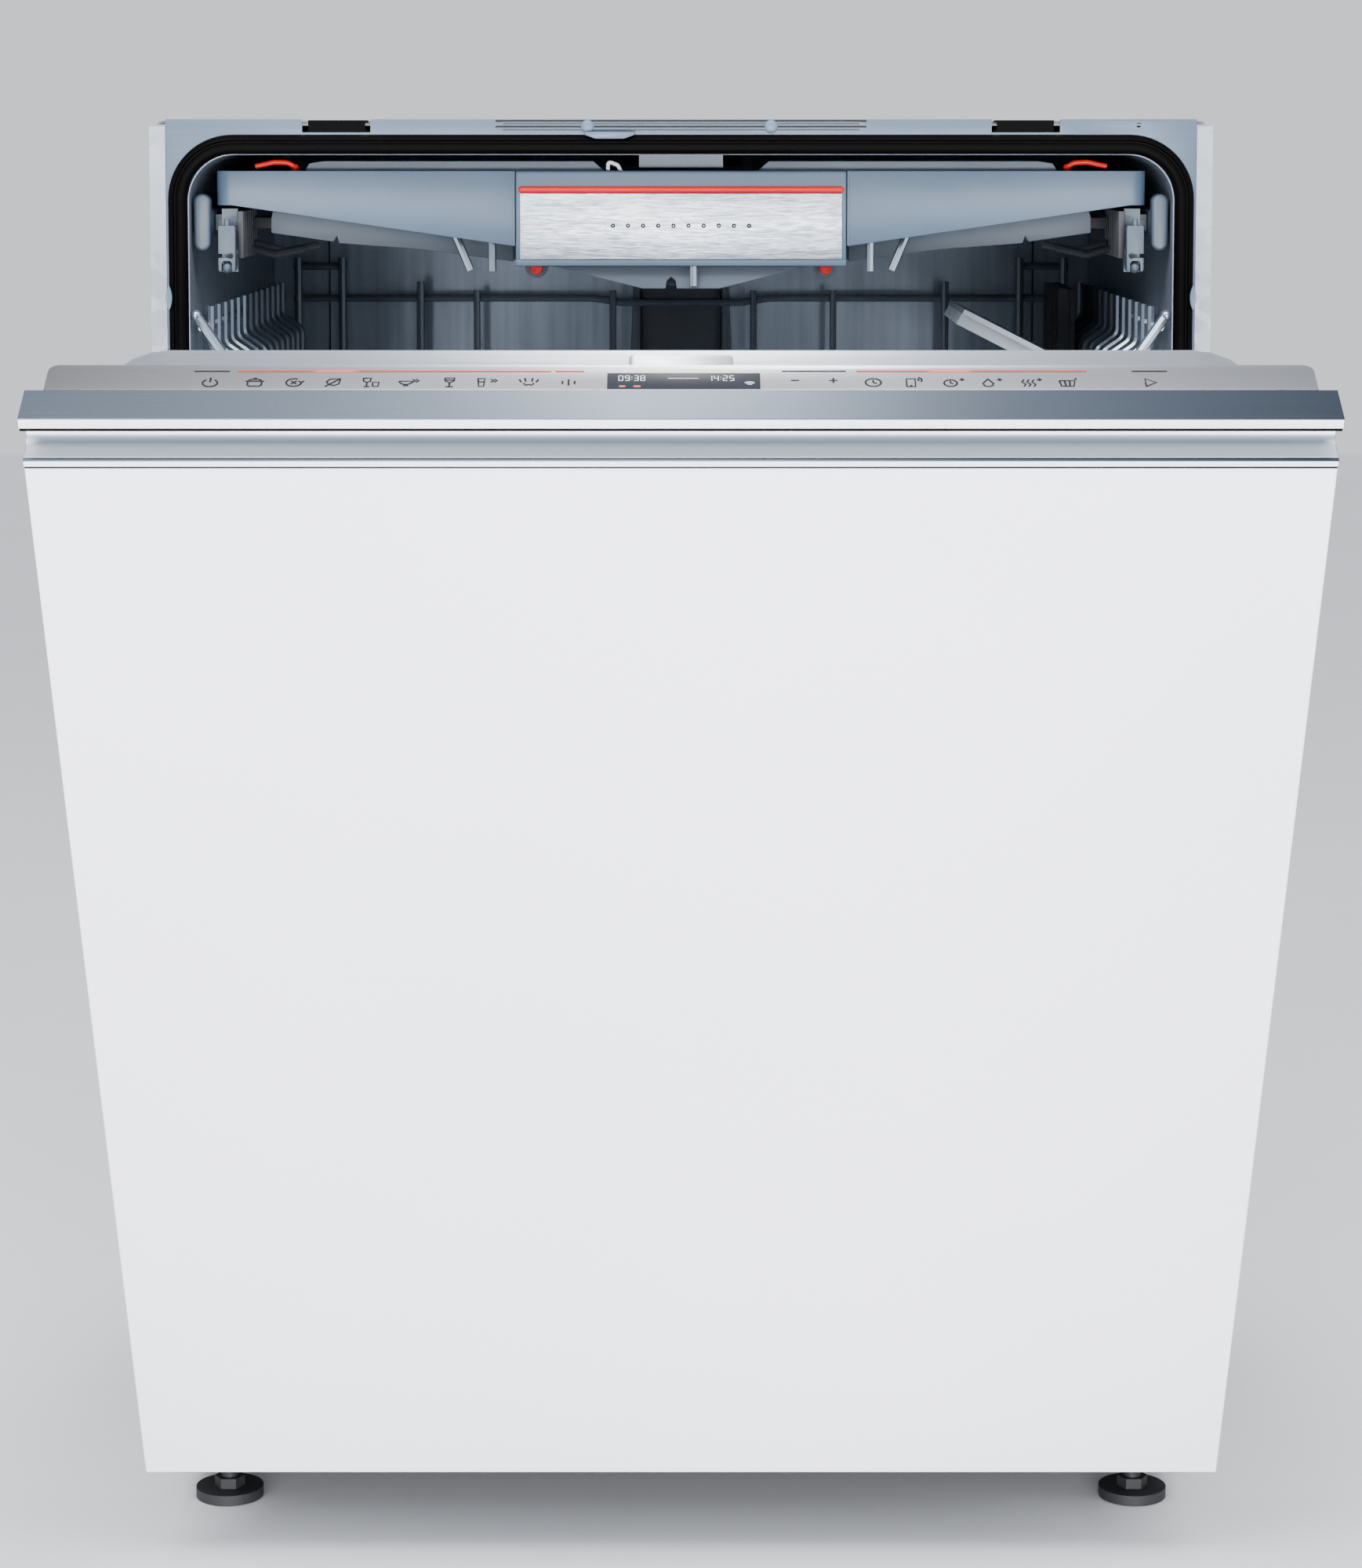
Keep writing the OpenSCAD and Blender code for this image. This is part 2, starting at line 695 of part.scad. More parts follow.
module drawer_plate() {
  color("silver") difference() {
    box(-housing_w / 2 + 3, housing_w / 2 - 3, drawer_y0, drawer_y0 + 2 - eps,
      drawer_z0 + 4, drawer_z1 - 12.8);
    for (k = [0 : mark_n - 1])
      rod_y((k - (mark_n - 1) / 2) * mark_pitch, drawer_y0 - 1, drawer_y0 + 0.6,
        drawer_z0 + drawer_h * 0.43, 1.1);
  }
}

module drawer_trim() {
  color("red") {
    rod_x(-housing_w / 2 + 1.6, housing_w / 2 - 1.6, drawer_y0 - 0.2, drawer_z1 - 10.6, 1.9);
    for (sx = [-1, 1])
      rod_y(sx * (housing_w / 2 - 11.6), drawer_y0 + 4, drawer_y0 + 10, drawer_z0 - 0.4 - 3.6, 3.6);
  }
}

// Frame of the drawer: an open rectangle of walls with a deeper tray in its middle
module tray_outline(inset) {
  t = inset;
  z1 = drawer_z1 - 6 + t;
  polygon([
    [-tray_x + t, z1], [-tray_x + t, drawer_z1 - wing_h + t],
    [-wing_x0, wing_in_z + t], [-wing_x0 + 14, drawer_z0 + 6 + t],
    [wing_x0 - 14, drawer_z0 + 6 + t], [wing_x0, wing_in_z + t],
    [tray_x - t, drawer_z1 - wing_h + t], [tray_x - t, z1]
  ]);
}

module drawer_tray() {
  color("slategray") {
    difference() {
      along_y(tray_y0, tray_y1) tray_outline(0);
      along_y(tray_y0 + wall, tray_y1 - wall) tray_outline(wall);
      both_sides()
        along_y(tray_y0 + wall, tray_y1 - wall)
          polygon([
            [wing_x0 + 2, drawer_z0], [tray_x - wall, drawer_z0],
            [tray_x - wall, drawer_z1], [wing_x0 + 2, drawer_z1]
          ]);
    }
    along_y(tray_y0 + 4, tray_y0 + 120)
      polygon([[-60, drawer_z0 + 6.5], [-6, drawer_z0 - 12], [26, drawer_z0 - 12], [60, drawer_z0 + 6.5]]);
  }
}

// Sloping floors of the two side trays: bars along the drawer and comb ribs across them
function tray_floor_z(x) =
  wing_in_z + (x - wing_x0) / (tray_x - wing_x0) * (drawer_z1 - wing_h - wing_in_z);

module drawer_combs() {
  x0 = wing_x0 + 2 + weld;
  x1 = tray_x - wall - weld;
  pitch = (x1 - x0 + bar_gap) / bar_n;
  color("slategray") both_sides() {
    for (k = [0 : bar_n - 1]) {
      a = x0 + k * pitch;
      b = a + pitch - bar_gap;
      along_y(tray_y0 + wall + weld, tray_y1 - wall - weld)
        polygon([
          [a, tray_floor_z(a)], [b, tray_floor_z(b)],
          [b, tray_floor_z(b) + wall], [a, tray_floor_z(a) + wall]
        ]);
    }
    for (k = [0 : comb_n - 1]) {
      y = tray_y0 + 34 + k * (tray_y1 - tray_y0 - 66) / comb_n;
      along_y(y, y + 2)
        polygon([
          [x0, tray_floor_z(x0) + wall + weld], [x1, tray_floor_z(x1) + wall + weld],
          [x1, tray_floor_z(x1) + wall + 1.5], [x0 + 30, tray_floor_z(x0) + 16],
          [x0, tray_floor_z(x0) + 12]
        ]);
    }
  }
}

module drawer_runners() {
  color("lightgray") both_sides() {
    box(drawer_x - 3.4, runner_x, drawer_y0 + 16, drawer_y1 - 4, drawer_rail_z - 5, drawer_rail_z + 4);
    box(drawer_x - 12, drawer_x - 3, drawer_y0 + 8, drawer_y0 + 14,
      drawer_z1 - wing_h - 38, drawer_z1 - wing_h - 2);
    box(drawer_x - 12, drawer_x, drawer_y0 + 14, drawer_y0 + 24, drawer_rail_z - 5, drawer_rail_z + 1);
    rod_y(drawer_x - 7.5, drawer_y0 + 3, drawer_y0 + 12, drawer_z1 - wing_h - 34, 3.5);
  }
}

// ---------- upper basket ----------
// Point a, moved the width of a weld towards point b
function inch(a, b) = a + (b - a) * (weld / norm(b - a));

// One straight run of wire: a to b is its outer edge, d to c its inner edge
module wire_run(a, b, c, d) {
  polygon([inch(a, b), inch(b, a), inch(c, d), inch(d, c)]);
}

// One cross wire in X and Z: up each side with a step in it, and flat across the bottom
module cross_wire(x, z0, z1, step, drop) {
  h = wire / 2;
  xi = x - step;
  outer = [
    [x + h, z1], [x + h, z1 - drop], [xi + h, z1 - drop - 8], [xi + h, z0 + 8], [xi - 8, z0 - h]
  ];
  inner = [
    [x - h, z1], [x - h, z1 - drop + 1], [xi - h, z1 - drop - 7], [xi - h, z0 + 10], [xi - 9, z0 + h]
  ];
  for (side = [1, -1], k = [0 : 3])
    scale([side, 1]) wire_run(outer[k], outer[k + 1], inner[k + 1], inner[k]);
  wire_run(outer[4], [-outer[4][0], outer[4][1]], [-inner[4][0], inner[4][1]], inner[4]);
}

// One long wire in Y and Z: up at the front, along the bottom and up at the back
module long_wire(y0, y1, z0, z_front, z_back) {
  h = wire / 2;
  outer = [[y0 - h, z_front], [y0 - h, z0 - h], [y1 + h, z0 - h], [y1 + h, z_back]];
  inner = [[y0 + h, z_front], [y0 + h, z0 + h], [y1 - h, z0 + h], [y1 - h, z_back]];
  for (k = [0 : 2])
    wire_run(outer[k], outer[k + 1], inner[k + 1], inner[k]);
}

// Rims of a basket: one rod along each side, one behind and one in front with a slant at each end
module basket_rims(x, y0, y1, z1, z_front) {
  h = wire / 2 + weld;
  both_sides()
    box(x + h, x + h + 4, y0 + 4, y1 - 4, z1 - 10, z1 - 6);
  box(-x, x, y1 + h, y1 + h + 4, z1 - 14, z1 - 10);
  box(-x + 28, x - 28, y0 - h - 5, y0 - h, z_front - 5, z_front);
  both_sides() along_y(y0 - h - 5, y0 - h)
    wire_run([x - 22, z_front - 2], [x + 7, z1 - 3], [x + 3, z1], [x - 27, z_front]);
}

module upper_basket() {
  color("silver") {
    for (k = [0 : upper_n - 1]) {
      y = upper_y0 + 12 + k * (upper_y1 - upper_y0 - 30) / (upper_n - 1);
      along_y(y - wire / 2, y + wire / 2) cross_wire(upper_x, upper_z0, upper_z1, side_step, 22);
    }
    for (s = rod_share)
      along_x(s * upper_x - wire / 2, s * upper_x + wire / 2)
        long_wire(upper_y0, upper_y1, upper_z0 - wire - weld, upper_z0 + 82, upper_z1 - 6);
    basket_rims(upper_x, upper_y0, upper_y1, upper_z1, upper_z0 + 84);
  }
}

// A shelf for cups: a thin plate with a comb of fins along its edge
module cup_shelf(len, reach) {
  pitch = (len - 14) / 7;
  box(0, 3, -len / 2, len / 2, 0, reach);
  for (k = [0 : 7])
    box(-7, 0.5, -len / 2 + 6 + k * pitch, -len / 2 + 8 + k * pitch, 18, reach);
}

module cup_shelf_front() {
  color("lightgray")
    translate([shelf_x, mid_y - 70, upper_z1 - 44])
      rotate([0, -shelf_tilt, 0]) cup_shelf(120, shelf_reach);
}

module cup_shelf_rear() {
  color("dimgray")
    translate([shelf_x, mid_y + 90, upper_z1 - 72]) cup_shelf(110, 76);
}

module upper_runners() {
  color("lightgray") both_sides() {
    box(rail_x - 5.6, rail_x - 0.6, upper_y0 + 4, upper_y1 - 14, upper_rail_z - 6, upper_rail_z + 6);
    for (y = [mid_y - 120, mid_y + 110])
      box(upper_x - side_step + wire / 2 + 0.4, rail_x - 5.4, y - 18, y + 18,
        upper_rail_z - 16, upper_rail_z + 22);
  }
}

module upper_feed() {
  color("lightslategray") difference() {
    union() {
      box(-14, 14, mid_y - 30, duct_y0 - 7, feed_z0, feed_z1);
      rod_y(0, duct_y0 - 8, duct_y0 - 0.3, (feed_z0 + feed_z1) / 2, 7);
      translate([0, mid_y, feed_z0 - arm_t - 8]) cylinder(r = hub_r, h = arm_t + 9);
      translate([0, mid_y, feed_z0 - arm_t - 12]) cylinder(r = hub_r + 4, h = 4);
    }
    translate([0, mid_y, feed_z0 - arm_t - 20]) cylinder(r = 6, h = arm_t + 26);
  }
}

// A spray arm: two blades round a hub, with a row of nozzles in each
module spray_arm(reach, hub, bore) {
  difference() {
    union() {
      cylinder(r = hub, h = arm_t);
      for (s = [0, 180]) rotate([0, 0, s]) {
        translate([0, -17, 2]) cube([reach - 17, 34, arm_t - 4]);
        translate([reach - 17, 0, 2]) cylinder(r = 17, h = arm_t - 4);
      }
    }
    translate([0, 0, -1]) cylinder(r = bore, h = arm_t + 2);
    for (s = [0, 180], k = [0 : 4]) rotate([0, 0, s])
      translate([hub + 16 + k * (reach - hub - 34) / 4, (k % 2) * 10 - 5, arm_t - 5])
        cylinder(r = 2, h = 10);
  }
}

module upper_spray_arm() {
  color("lightslategray")
    translate([0, mid_y, feed_z0 - arm_t - 4]) rotate([0, 0, 35])
      spray_arm(upper_reach, hub_r + 10, hub_r + run_c);
}

module lower_spray_arm() {
  color("lightslategray")
    translate([0, mid_y, arm_z]) rotate([0, 0, -20])
      spray_arm(lower_reach, 26, 15 + run_c);
}

// ---------- lower basket ----------
// Bracket and axle of one wheel, under the basket's long wires
module wheel_bracket(y) {
  z1 = lower_z0 - 1.5 * wire - 2 * weld;
  box(wheel_x - 6.5, wheel_x - 1.5, y - 9, y + 9, wheel_z - 6, z1);
  box(wheel_x - 20, wheel_x - 1.5, y - 26, y + 26, z1 - 3, z1);
  rod_x(wheel_x - 6, wheel_x + wheel_w + 2, y, wheel_z, axle_r);
}

module lower_basket() {
  n = 10;
  color("silver") {
    for (k = [0 : n - 1]) {
      y = lower_y0 + 14 + k * (lower_y1 - lower_y0 - 28) / (n - 1);
      along_y(y - wire / 2, y + wire / 2) cross_wire(lower_x, lower_z0, lower_z1, 10, 40);
    }
    for (s = [-0.86, -0.66, -0.46, -0.26, -0.09, 0.09, 0.26, 0.46, 0.66, 0.86])
      along_x(s * lower_x - wire / 2, s * lower_x + wire / 2)
        long_wire(lower_y0, lower_y1, lower_z0 - wire - weld, lower_z1 - 40, lower_z1);
    basket_rims(lower_x, lower_y0, lower_y1, lower_z1, lower_z1 - 38);
    box(-55, 55, lower_y0 - wire - 6, lower_y0 - wire / 2 - weld, lower_z1 - 66, lower_z1 - 44);
    both_sides() for (y = wheel_y) wheel_bracket(y);
  }
}

module lower_tines() {
  y = mid_y + 40;
  color("silver") {
    rod_x(-lower_x + 22, lower_x - 22, y, lower_z0 + 7.5, 2.3);
    for (k = [-tine_n : tine_n])
      box(k * 24 - 2, k * 24 + 2, y - 2, y + 2, lower_z0 + 6, lower_z0 + 62);
  }
}

module wheel_pair(y) {
  color("lightgray") both_sides() difference() {
    rod_x(wheel_x, wheel_x + wheel_w, y, wheel_z, wheel_r);
    rod_x(wheel_x - 1, wheel_x + wheel_w + 1, y, wheel_z, axle_r + run_c);
  }
}

module lower_wheels_front() {
  wheel_pair(wheel_y[0]);
}

module lower_wheels_rear() {
  wheel_pair(wheel_y[1]);
}

tub();
front_frame();
door_gasket();
lower_seal();
base_tray();
side_panels();
rear_panel();
top_cover();
insulation();
plinth_plate();
feet();
hinge_brackets();
balance_springs();
sump();
filter_plate();
filter_cup();
circulation_pump();
drain_pump();
flow_heater();
salt_container();
salt_cap();
water_guide();
rear_duct();
ceiling_duct();
inlet_valve();
drain_connector();
power_inlet();
worktop_brackets();
fixing_caps();
tub_rails();
door_shell();
inner_liner();
control_panel();
display_window();
control_board();
door_latch();
dispenser();
dispenser_lid();
rinse_cap();
furniture_front();
handle_profile();
hinge_arms();
front_screws();
drawer_wings();
drawer_housing();
drawer_plate();
drawer_trim();
drawer_tray();
drawer_combs();
drawer_runners();
upper_basket();
cup_shelf_front();
cup_shelf_rear();
upper_runners();
upper_feed();
upper_spray_arm();
lower_basket();
lower_tines();
lower_wheels_front();
lower_wheels_rear();
lower_spray_arm();
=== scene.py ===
import json
import math

import bpy
from mathutils import Matrix, Vector


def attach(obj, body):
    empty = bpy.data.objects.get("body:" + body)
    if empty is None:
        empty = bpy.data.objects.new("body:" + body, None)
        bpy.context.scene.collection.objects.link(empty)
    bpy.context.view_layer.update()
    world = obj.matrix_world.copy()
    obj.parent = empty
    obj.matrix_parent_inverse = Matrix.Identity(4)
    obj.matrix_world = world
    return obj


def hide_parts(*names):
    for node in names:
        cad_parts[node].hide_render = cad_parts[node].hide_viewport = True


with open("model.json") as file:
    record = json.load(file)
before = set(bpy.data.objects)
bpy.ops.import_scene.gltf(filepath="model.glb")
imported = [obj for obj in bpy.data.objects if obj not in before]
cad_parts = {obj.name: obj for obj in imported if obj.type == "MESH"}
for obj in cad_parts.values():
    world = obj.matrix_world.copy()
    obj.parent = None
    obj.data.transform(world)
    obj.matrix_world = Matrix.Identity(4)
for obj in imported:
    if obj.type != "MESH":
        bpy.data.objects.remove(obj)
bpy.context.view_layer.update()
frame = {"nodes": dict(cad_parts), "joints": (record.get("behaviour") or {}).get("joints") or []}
nodes = frame["nodes"]
joints = {joint["name"]: joint for joint in frame["joints"]}
doorPivot = Vector(joints["door_hinge"]["pos_m"])
doorTurn = Matrix.Translation(doorPivot) @ Matrix.Rotation(math.radians(30), 4,
                                                           "X") @ Matrix.Translation(-doorPivot)
print("frame loaded,", len(nodes), "nodes")


# shader values and finishes

class Wire:  # one shader value that takes + - * like a number
    def __init__(self, finish, socket):
        self.finish, self.socket = finish, socket

    def calc(self, kind, first, second, clamp=False):
        return self.finish.node("Math", {"operation": kind, "use_clamp": clamp}, {0: first, 1: second})

    def __add__(self, other):
        return self.calc("ADD", self, other)

    def __sub__(self, other):
        return self.calc("SUBTRACT", self, other)

    def __mul__(self, other):
        return self.calc("MULTIPLY", self, other)

    def __rsub__(self, other):
        return self.calc("SUBTRACT", other, self)

    __radd__ = __add__
    __rmul__ = __mul__


class Finish:
    def __init__(self, name, roughness=0.5, metallic=0.0, **constants):
        self.material = bpy.data.materials.new(name)
        self.material.use_nodes = True
        self.tree = self.material.node_tree
        self.tree.nodes.clear()
        self.out = self.tree.nodes.new("ShaderNodeOutputMaterial")
        self.shader = self.tree.nodes.new("ShaderNodeBsdfPrincipled")
        self.tree.links.new(self.shader.outputs[0], self.out.inputs[0])
        self.shader.inputs["Roughness"].default_value = roughness
        self.shader.inputs["Metallic"].default_value = metallic
        for socket, value in constants.items():
            self.shader.inputs[socket.replace("_", " ")].default_value = value

    def node(self, kind, settings, values, output=0):
        new = self.tree.nodes.new("ShaderNode" + kind)
        for name, value in settings.items():
            if name == "stops":
                ramp = new.color_ramp
                while len(ramp.elements) < len(value):
                    ramp.elements.new(1.0)
                for element, (place, colour) in zip(ramp.elements, value):
                    element.position, element.color = place, (*colour, 1.0)
            else:
                setattr(new, name, value)
        for name, value in values.items():
            if isinstance(value, Wire):
                self.tree.links.new(value.socket, new.inputs[name])
            else:
                new.inputs[name].default_value = value
        return Wire(self, new.outputs[output])

    def place(self, scale=(1.0, 1.0, 1.0)):  # object coordinates, stretched
        spot = self.node("TexCoord", {}, {}, "Object")
        return self.node("Mapping", {}, {"Vector": spot, "Scale": scale})

    def noise(self, scale, stretch=(1.0, 1.0, 1.0), detail=4.0, rough=0.55):
        return self.node("TexNoise", {}, {"Vector": self.place(stretch), "Scale": scale, "Detail": detail,
                                          "Roughness": rough})

    def spread(self, value, low, high, toLow=0.0, toHigh=1.0):
        return self.node("MapRange", {}, {"Value": value, "From Min": low, "From Max": high, "To Min": toLow,
                                          "To Max": toHigh})

    def mix(self, share, first, second):
        return self.node("Mix", {"data_type": "RGBA"}, {0: share, 6: first, 7: second}, 2)

    def bump(self, height, strength, distance):
        return self.node("Bump", {}, {"Height": height, "Strength": strength, "Distance": distance})

    def feed(self, **links):
        for socket, value in links.items():
            self.tree.links.new(value.socket, self.shader.inputs[socket.replace("_", " ")])
        return self.material


def rgb(code, alpha=1.0):  # a screen colour as linear light
    parts = [int(code[i:i + 2], 16) / 255 for i in (0, 2, 4)]
    return tuple(c / 12.92 if c < 0.04045 else ((c + 0.055) / 1.055) ** 2.4 for c in parts) + (alpha,)


brushedLooks = {
    "tubSteel": {"light": "8792a0", "dark": "78838f", "grain": 240, "stretch": (1, 1, 0.03),
                 "rough": (0.40, 0.50), "bump": 0.02, "metal": 0.4},
    "linerSteel": {"light": "c3c8d0", "dark": "a9afb9", "grain": 300, "stretch": (0.03, 1, 1),
                   "rough": (0.28, 0.38), "bump": 0.03, "metal": 1.0},
    "frameSteel": {"light": "546171", "dark": "4d5a6a", "grain": 420, "stretch": (0.04, 1, 1),
                   "rough": (0.42, 0.52), "bump": 0.03, "metal": 0.45},
    # sides: painted shade, the panel coloured darker towards its left and right ends
    "panelSteel": {"light": "d6d6da", "dark": "bfc0c5", "grain": 800, "stretch": (0.012, 1, 1),
                   "rough": (0.30, 0.40), "bump": 0.05, "metal": 1.0,
                   "sides": ((0.0, "b2b0ae"), (0.38, "ffffff"), (0.66, "ffffff"), (1.0, "c2c3c6"))},
    # sides: painted shade, the handle coloured darker towards its ends, most at the right
    "handleMetal": {"light": "a7b1be", "dark": "949fad", "grain": 600, "stretch": (0.015, 1, 1),
                    "rough": (0.20, 0.28), "bump": 0.02, "metal": 1.0,
                    "sides": ((0.0, "cdd1d5"), (0.45, "ffffff"), (0.75, "b2b6bc"), (1.0, "7e848c"))},
    "zincMetal": {"light": "c4c9cf", "dark": "a4a9b0", "grain": 350, "stretch": (1, 1, 1),
                  "rough": (0.25, 0.42), "bump": 0.06, "metal": 1.0},
    # darker copy of wireCoat: painted shade for wires deep in the tub, also used for the painted highlight line on the
    # gasket rim
    "shadedWireAndRimHighlight": {"light": "6b7582", "dark": "626c79", "grain": 1800, "stretch": (1, 1, 1),
                 "rough": (0.26, 0.34), "bump": 0.01, "metal": 0.2},
    "wireCoat": {"light": "a2adba", "dark": "96a2b0", "grain": 1800, "stretch": (1, 1, 1),
                 "rough": (0.18, 0.26), "bump": 0.01, "metal": 0.8},
}


def brushedFinish(name, look):
    finish = Finish(name, metallic=look["metal"])
    streaks = finish.noise(look["grain"], look["stretch"], 5.0, 0.6)
    clouds = finish.noise(7.0, (1, 1, 1), 3.0, 0.5)
    share = finish.spread(streaks * 0.7 + clouds * 0.3, 0.3, 0.7)
    colour = finish.mix(share, rgb(look["dark"]), rgb(look["light"]))
    if "sides" in look:  # painted shade: the colour is multiplied darker towards the ends of the door, along X
        along = finish.spread(finish.node("SeparateXYZ", {}, {0: finish.place()}, 0), -0.3, 0.3)
        paintedLightTone = finish.node("ValToRGB", {"stops": [(place, rgb(code)[:3]) for place, code in look["sides"]]},
                           {0: along})
        colour = finish.node("Mix", {"data_type": "RGBA", "blend_type": "MULTIPLY"},
                             {0: 1.0, 6: colour, 7: paintedLightTone}, 2)
    low, high = look["rough"]
    rough = finish.spread(streaks * 0.5 + clouds * 0.5, 0.35, 0.65, high, low)
    return finish.feed(Base_Color=colour, Roughness=rough, Normal=finish.bump(streaks, look["bump"], 0.0002))


def streakedPlate(name):  # short bright and dark scratches, as on a coarse brushed plate
    finish = Finish(name, metallic=1.0)
    short = finish.noise(900.0, (0.10, 1, 1), 3.0, 0.65)
    long = finish.noise(260.0, (0.08, 1, 1), 4.0, 0.6)
    clouds = finish.noise(22.0, (1, 1, 1), 2.0, 0.5)
    marks = finish.spread(short * 0.6 + long * 0.4, 0.38, 0.62)
    colour = finish.mix(marks, rgb("8e97a3"), rgb("eef2f7"))
    shade = finish.spread(clouds, 0.3, 0.7, 0.0, 0.35)
    colour = finish.mix(shade, colour, rgb("aab3c0"))
    rough = finish.spread(short, 0.3, 0.7, 0.44, 0.26)
    return finish.feed(Base_Color=colour, Roughness=rough, Normal=finish.bump(marks, 0.35, 0.0002))


def galvanisedFinish(name):
    finish = Finish(name, metallic=1.0)
    cells = finish.node("TexVoronoi", {}, {"Vector": finish.place((1, 1, 1)), "Scale": 130.0}, "Color")
    flake = finish.node("SeparateColor", {}, {0: cells}, 0)
    soft = finish.noise(18.0, (1, 1, 1), 3.0, 0.5)
    colour = finish.mix(finish.spread(flake * 0.5 + soft * 0.5, 0.2, 0.8), rgb("666a70"), rgb("8b9097"))
    rough = finish.spread(flake, 0.0, 1.0, 0.34, 0.52)
    return finish.feed(Base_Color=colour, Roughness=rough, Normal=finish.bump(flake, 0.05, 0.0002))


plasticLooks = {
    "drawerPlastic": {"colour": "56697c", "dark": "506275", "grain": 1500, "bump": 0.10, "rough": (0.38, 0.50)},
    "trayPlastic": {"colour": "65707c", "dark": "5b6570", "grain": 1300, "bump": 0.12, "rough": (0.45, 0.58)},
    "railPlastic": {"colour": "485563", "dark": "414d5a", "grain": 1400, "bump": 0.08, "rough": (0.34, 0.46)},
    "paleGreyPlastic": {"colour": "b9c1ca", "dark": "aab3bd", "grain": 1200, "bump": 0.08,
                        "rough": (0.36, 0.50)},
    "whitePlastic": {"colour": "e3e5e8", "dark": "d7dade", "grain": 1000, "bump": 0.08, "rough": (0.36, 0.50)},
    "darkPlastic": {"colour": "33373d", "dark": "282c31", "grain": 1100, "bump": 0.12, "rough": (0.42, 0.58)},
    "basePlastic": {"colour": "222326", "dark": "1a1b1d", "grain": 700, "bump": 0.25, "rough": (0.55, 0.72)},
    # pale colour for the painted highlights on the handle lips
    "paintedHighlightPale": {"colour": "f3f5f8", "dark": "e9edf1", "grain": 900, "bump": 0.02, "rough": (0.22, 0.30)},
    "redPlastic": {"colour": "e01a15", "dark": "cf1712", "grain": 1200, "bump": 0.03, "rough": (0.16, 0.24),
                   "shine": 0.25},
    "bluePlastic": {"colour": "2c5f9a", "dark": "25548b", "grain": 1200, "bump": 0.06, "rough": (0.26, 0.38)},
    "ductPlastic": {"colour": "565c65", "dark": "4d535b", "grain": 1100, "bump": 0.08, "rough": (0.40, 0.52)},
    "gasketRubber": {"colour": "040304", "dark": "020202", "grain": 900, "bump": 0.15, "rough": (0.50, 0.65),
                     "shine": 0.04},
    "feltMat": {"colour": "24262a", "dark": "17181b", "grain": 480, "bump": 0.9, "rough": (0.85, 0.95)},
    "pumpPlastic": {"colour": "2c2f33", "dark": "212428", "grain": 900, "bump": 0.10, "rough": (0.30, 0.46)},
    "boardGreen": {"colour": "1e6a41", "dark": "155233", "grain": 260, "bump": 0.3, "rough": (0.30, 0.50)},
    "inkGrey": {"colour": "0b0c0e", "dark": "08090a", "grain": 1200, "bump": 0.02, "rough": (0.45, 0.55),
                "shine": 0.2},
    "blackPaint": {"colour": "070708", "dark": "050505", "grain": 900, "bump": 0.10, "rough": (0.50, 0.65),
                   "shine": 0.03},
    # dark grey for the painted shade on the frame's channel
    "paintedShadeGrey": {"colour": "59636e", "dark": "4c5560", "grain": 900, "bump": 0.05, "rough": (0.16, 0.26)},
    "shadowGap": {"colour": "1a1e24", "dark": "14171c", "grain": 900, "bump": 0.05, "rough": (0.6, 0.75)},
}


def plasticFinish(name, look):
    finish = Finish(name, Specular_IOR_Level=look.get("shine", 0.5))
    grain = finish.noise(look["grain"], (1, 1, 1), 3.0, 0.6)
    drift = finish.noise(14.0, (1, 1, 1), 3.0, 0.5)
    colour = finish.mix(finish.spread(drift * 0.7 + grain * 0.3, 0.35, 0.65), rgb(look["dark"]),
                        rgb(look["colour"]))
    low, high = look["rough"]
    rough = finish.spread(drift * 0.4 + grain * 0.6, 0.35, 0.65, low, high)
    return finish.feed(Base_Color=colour, Roughness=rough, Normal=finish.bump(grain, look["bump"], 0.0002))


def lacquerFinish(name):  # satin white paint with a faint orange peel
    finish = Finish(name, roughness=0.3, Coat_Weight=0.25, Coat_Roughness=0.12)
    peel = finish.noise(420.0, (1, 1, 1), 2.0, 0.5)
    drift = finish.noise(3.0, (1, 1, 1), 2.0, 0.5)
    colour = finish.mix(finish.spread(drift, 0.35, 0.65), rgb("f1f2f8"), rgb("f7f7fb"))
    rough = finish.spread(drift * 0.5 + peel * 0.5, 0.35, 0.65, 0.30, 0.38)
    return finish.feed(Base_Color=colour, Roughness=rough, Normal=finish.bump(peel, 0.04, 0.0003))


def displayFinish(name):
    finish = Finish(name, Specular_IOR_Level=0.12)
    cells = finish.noise(2400.0, (1, 1, 1), 1.0, 0.5)
    colour = finish.mix(finish.spread(cells, 0.4, 0.6), rgb("202329"), rgb("2a2d34"))
    return finish.feed(Base_Color=colour, Roughness=finish.spread(cells, 0.3, 0.7, 0.36, 0.44))


# a light bar whose lit part lies around centre, in metres along X
def glowFinish(name, dim, bright, centre, half):
    finish = Finish(name, roughness=0.25, Emission_Strength=0.9)
    spot = finish.node("SeparateXYZ", {}, {0: finish.place()}, 0)
    away = finish.node("Math", {"operation": "ABSOLUTE"}, {0: spot - centre})
    lit = finish.spread(away, half * 1.25, half * 0.85)
    speck = finish.noise(700.0, (1, 1, 1), 2.0, 0.5)
    colour = finish.mix(lit, rgb(dim), rgb(bright))
    return finish.feed(Base_Color=finish.mix(speck * 0.15, colour, rgb("5a1410")),
                       Emission_Color=finish.mix(lit, rgb(dim), rgb(bright)))


def litInk(name, code, strength):
    finish = Finish(name, roughness=0.4, Emission_Strength=strength)
    speck = finish.noise(900.0, (1, 1, 1), 2.0, 0.5)
    colour = finish.mix(finish.spread(speck, 0.3, 0.7, 0.0, 0.2), rgb(code), rgb("8a8f96"))
    return finish.feed(Base_Color=colour, Emission_Color=colour)


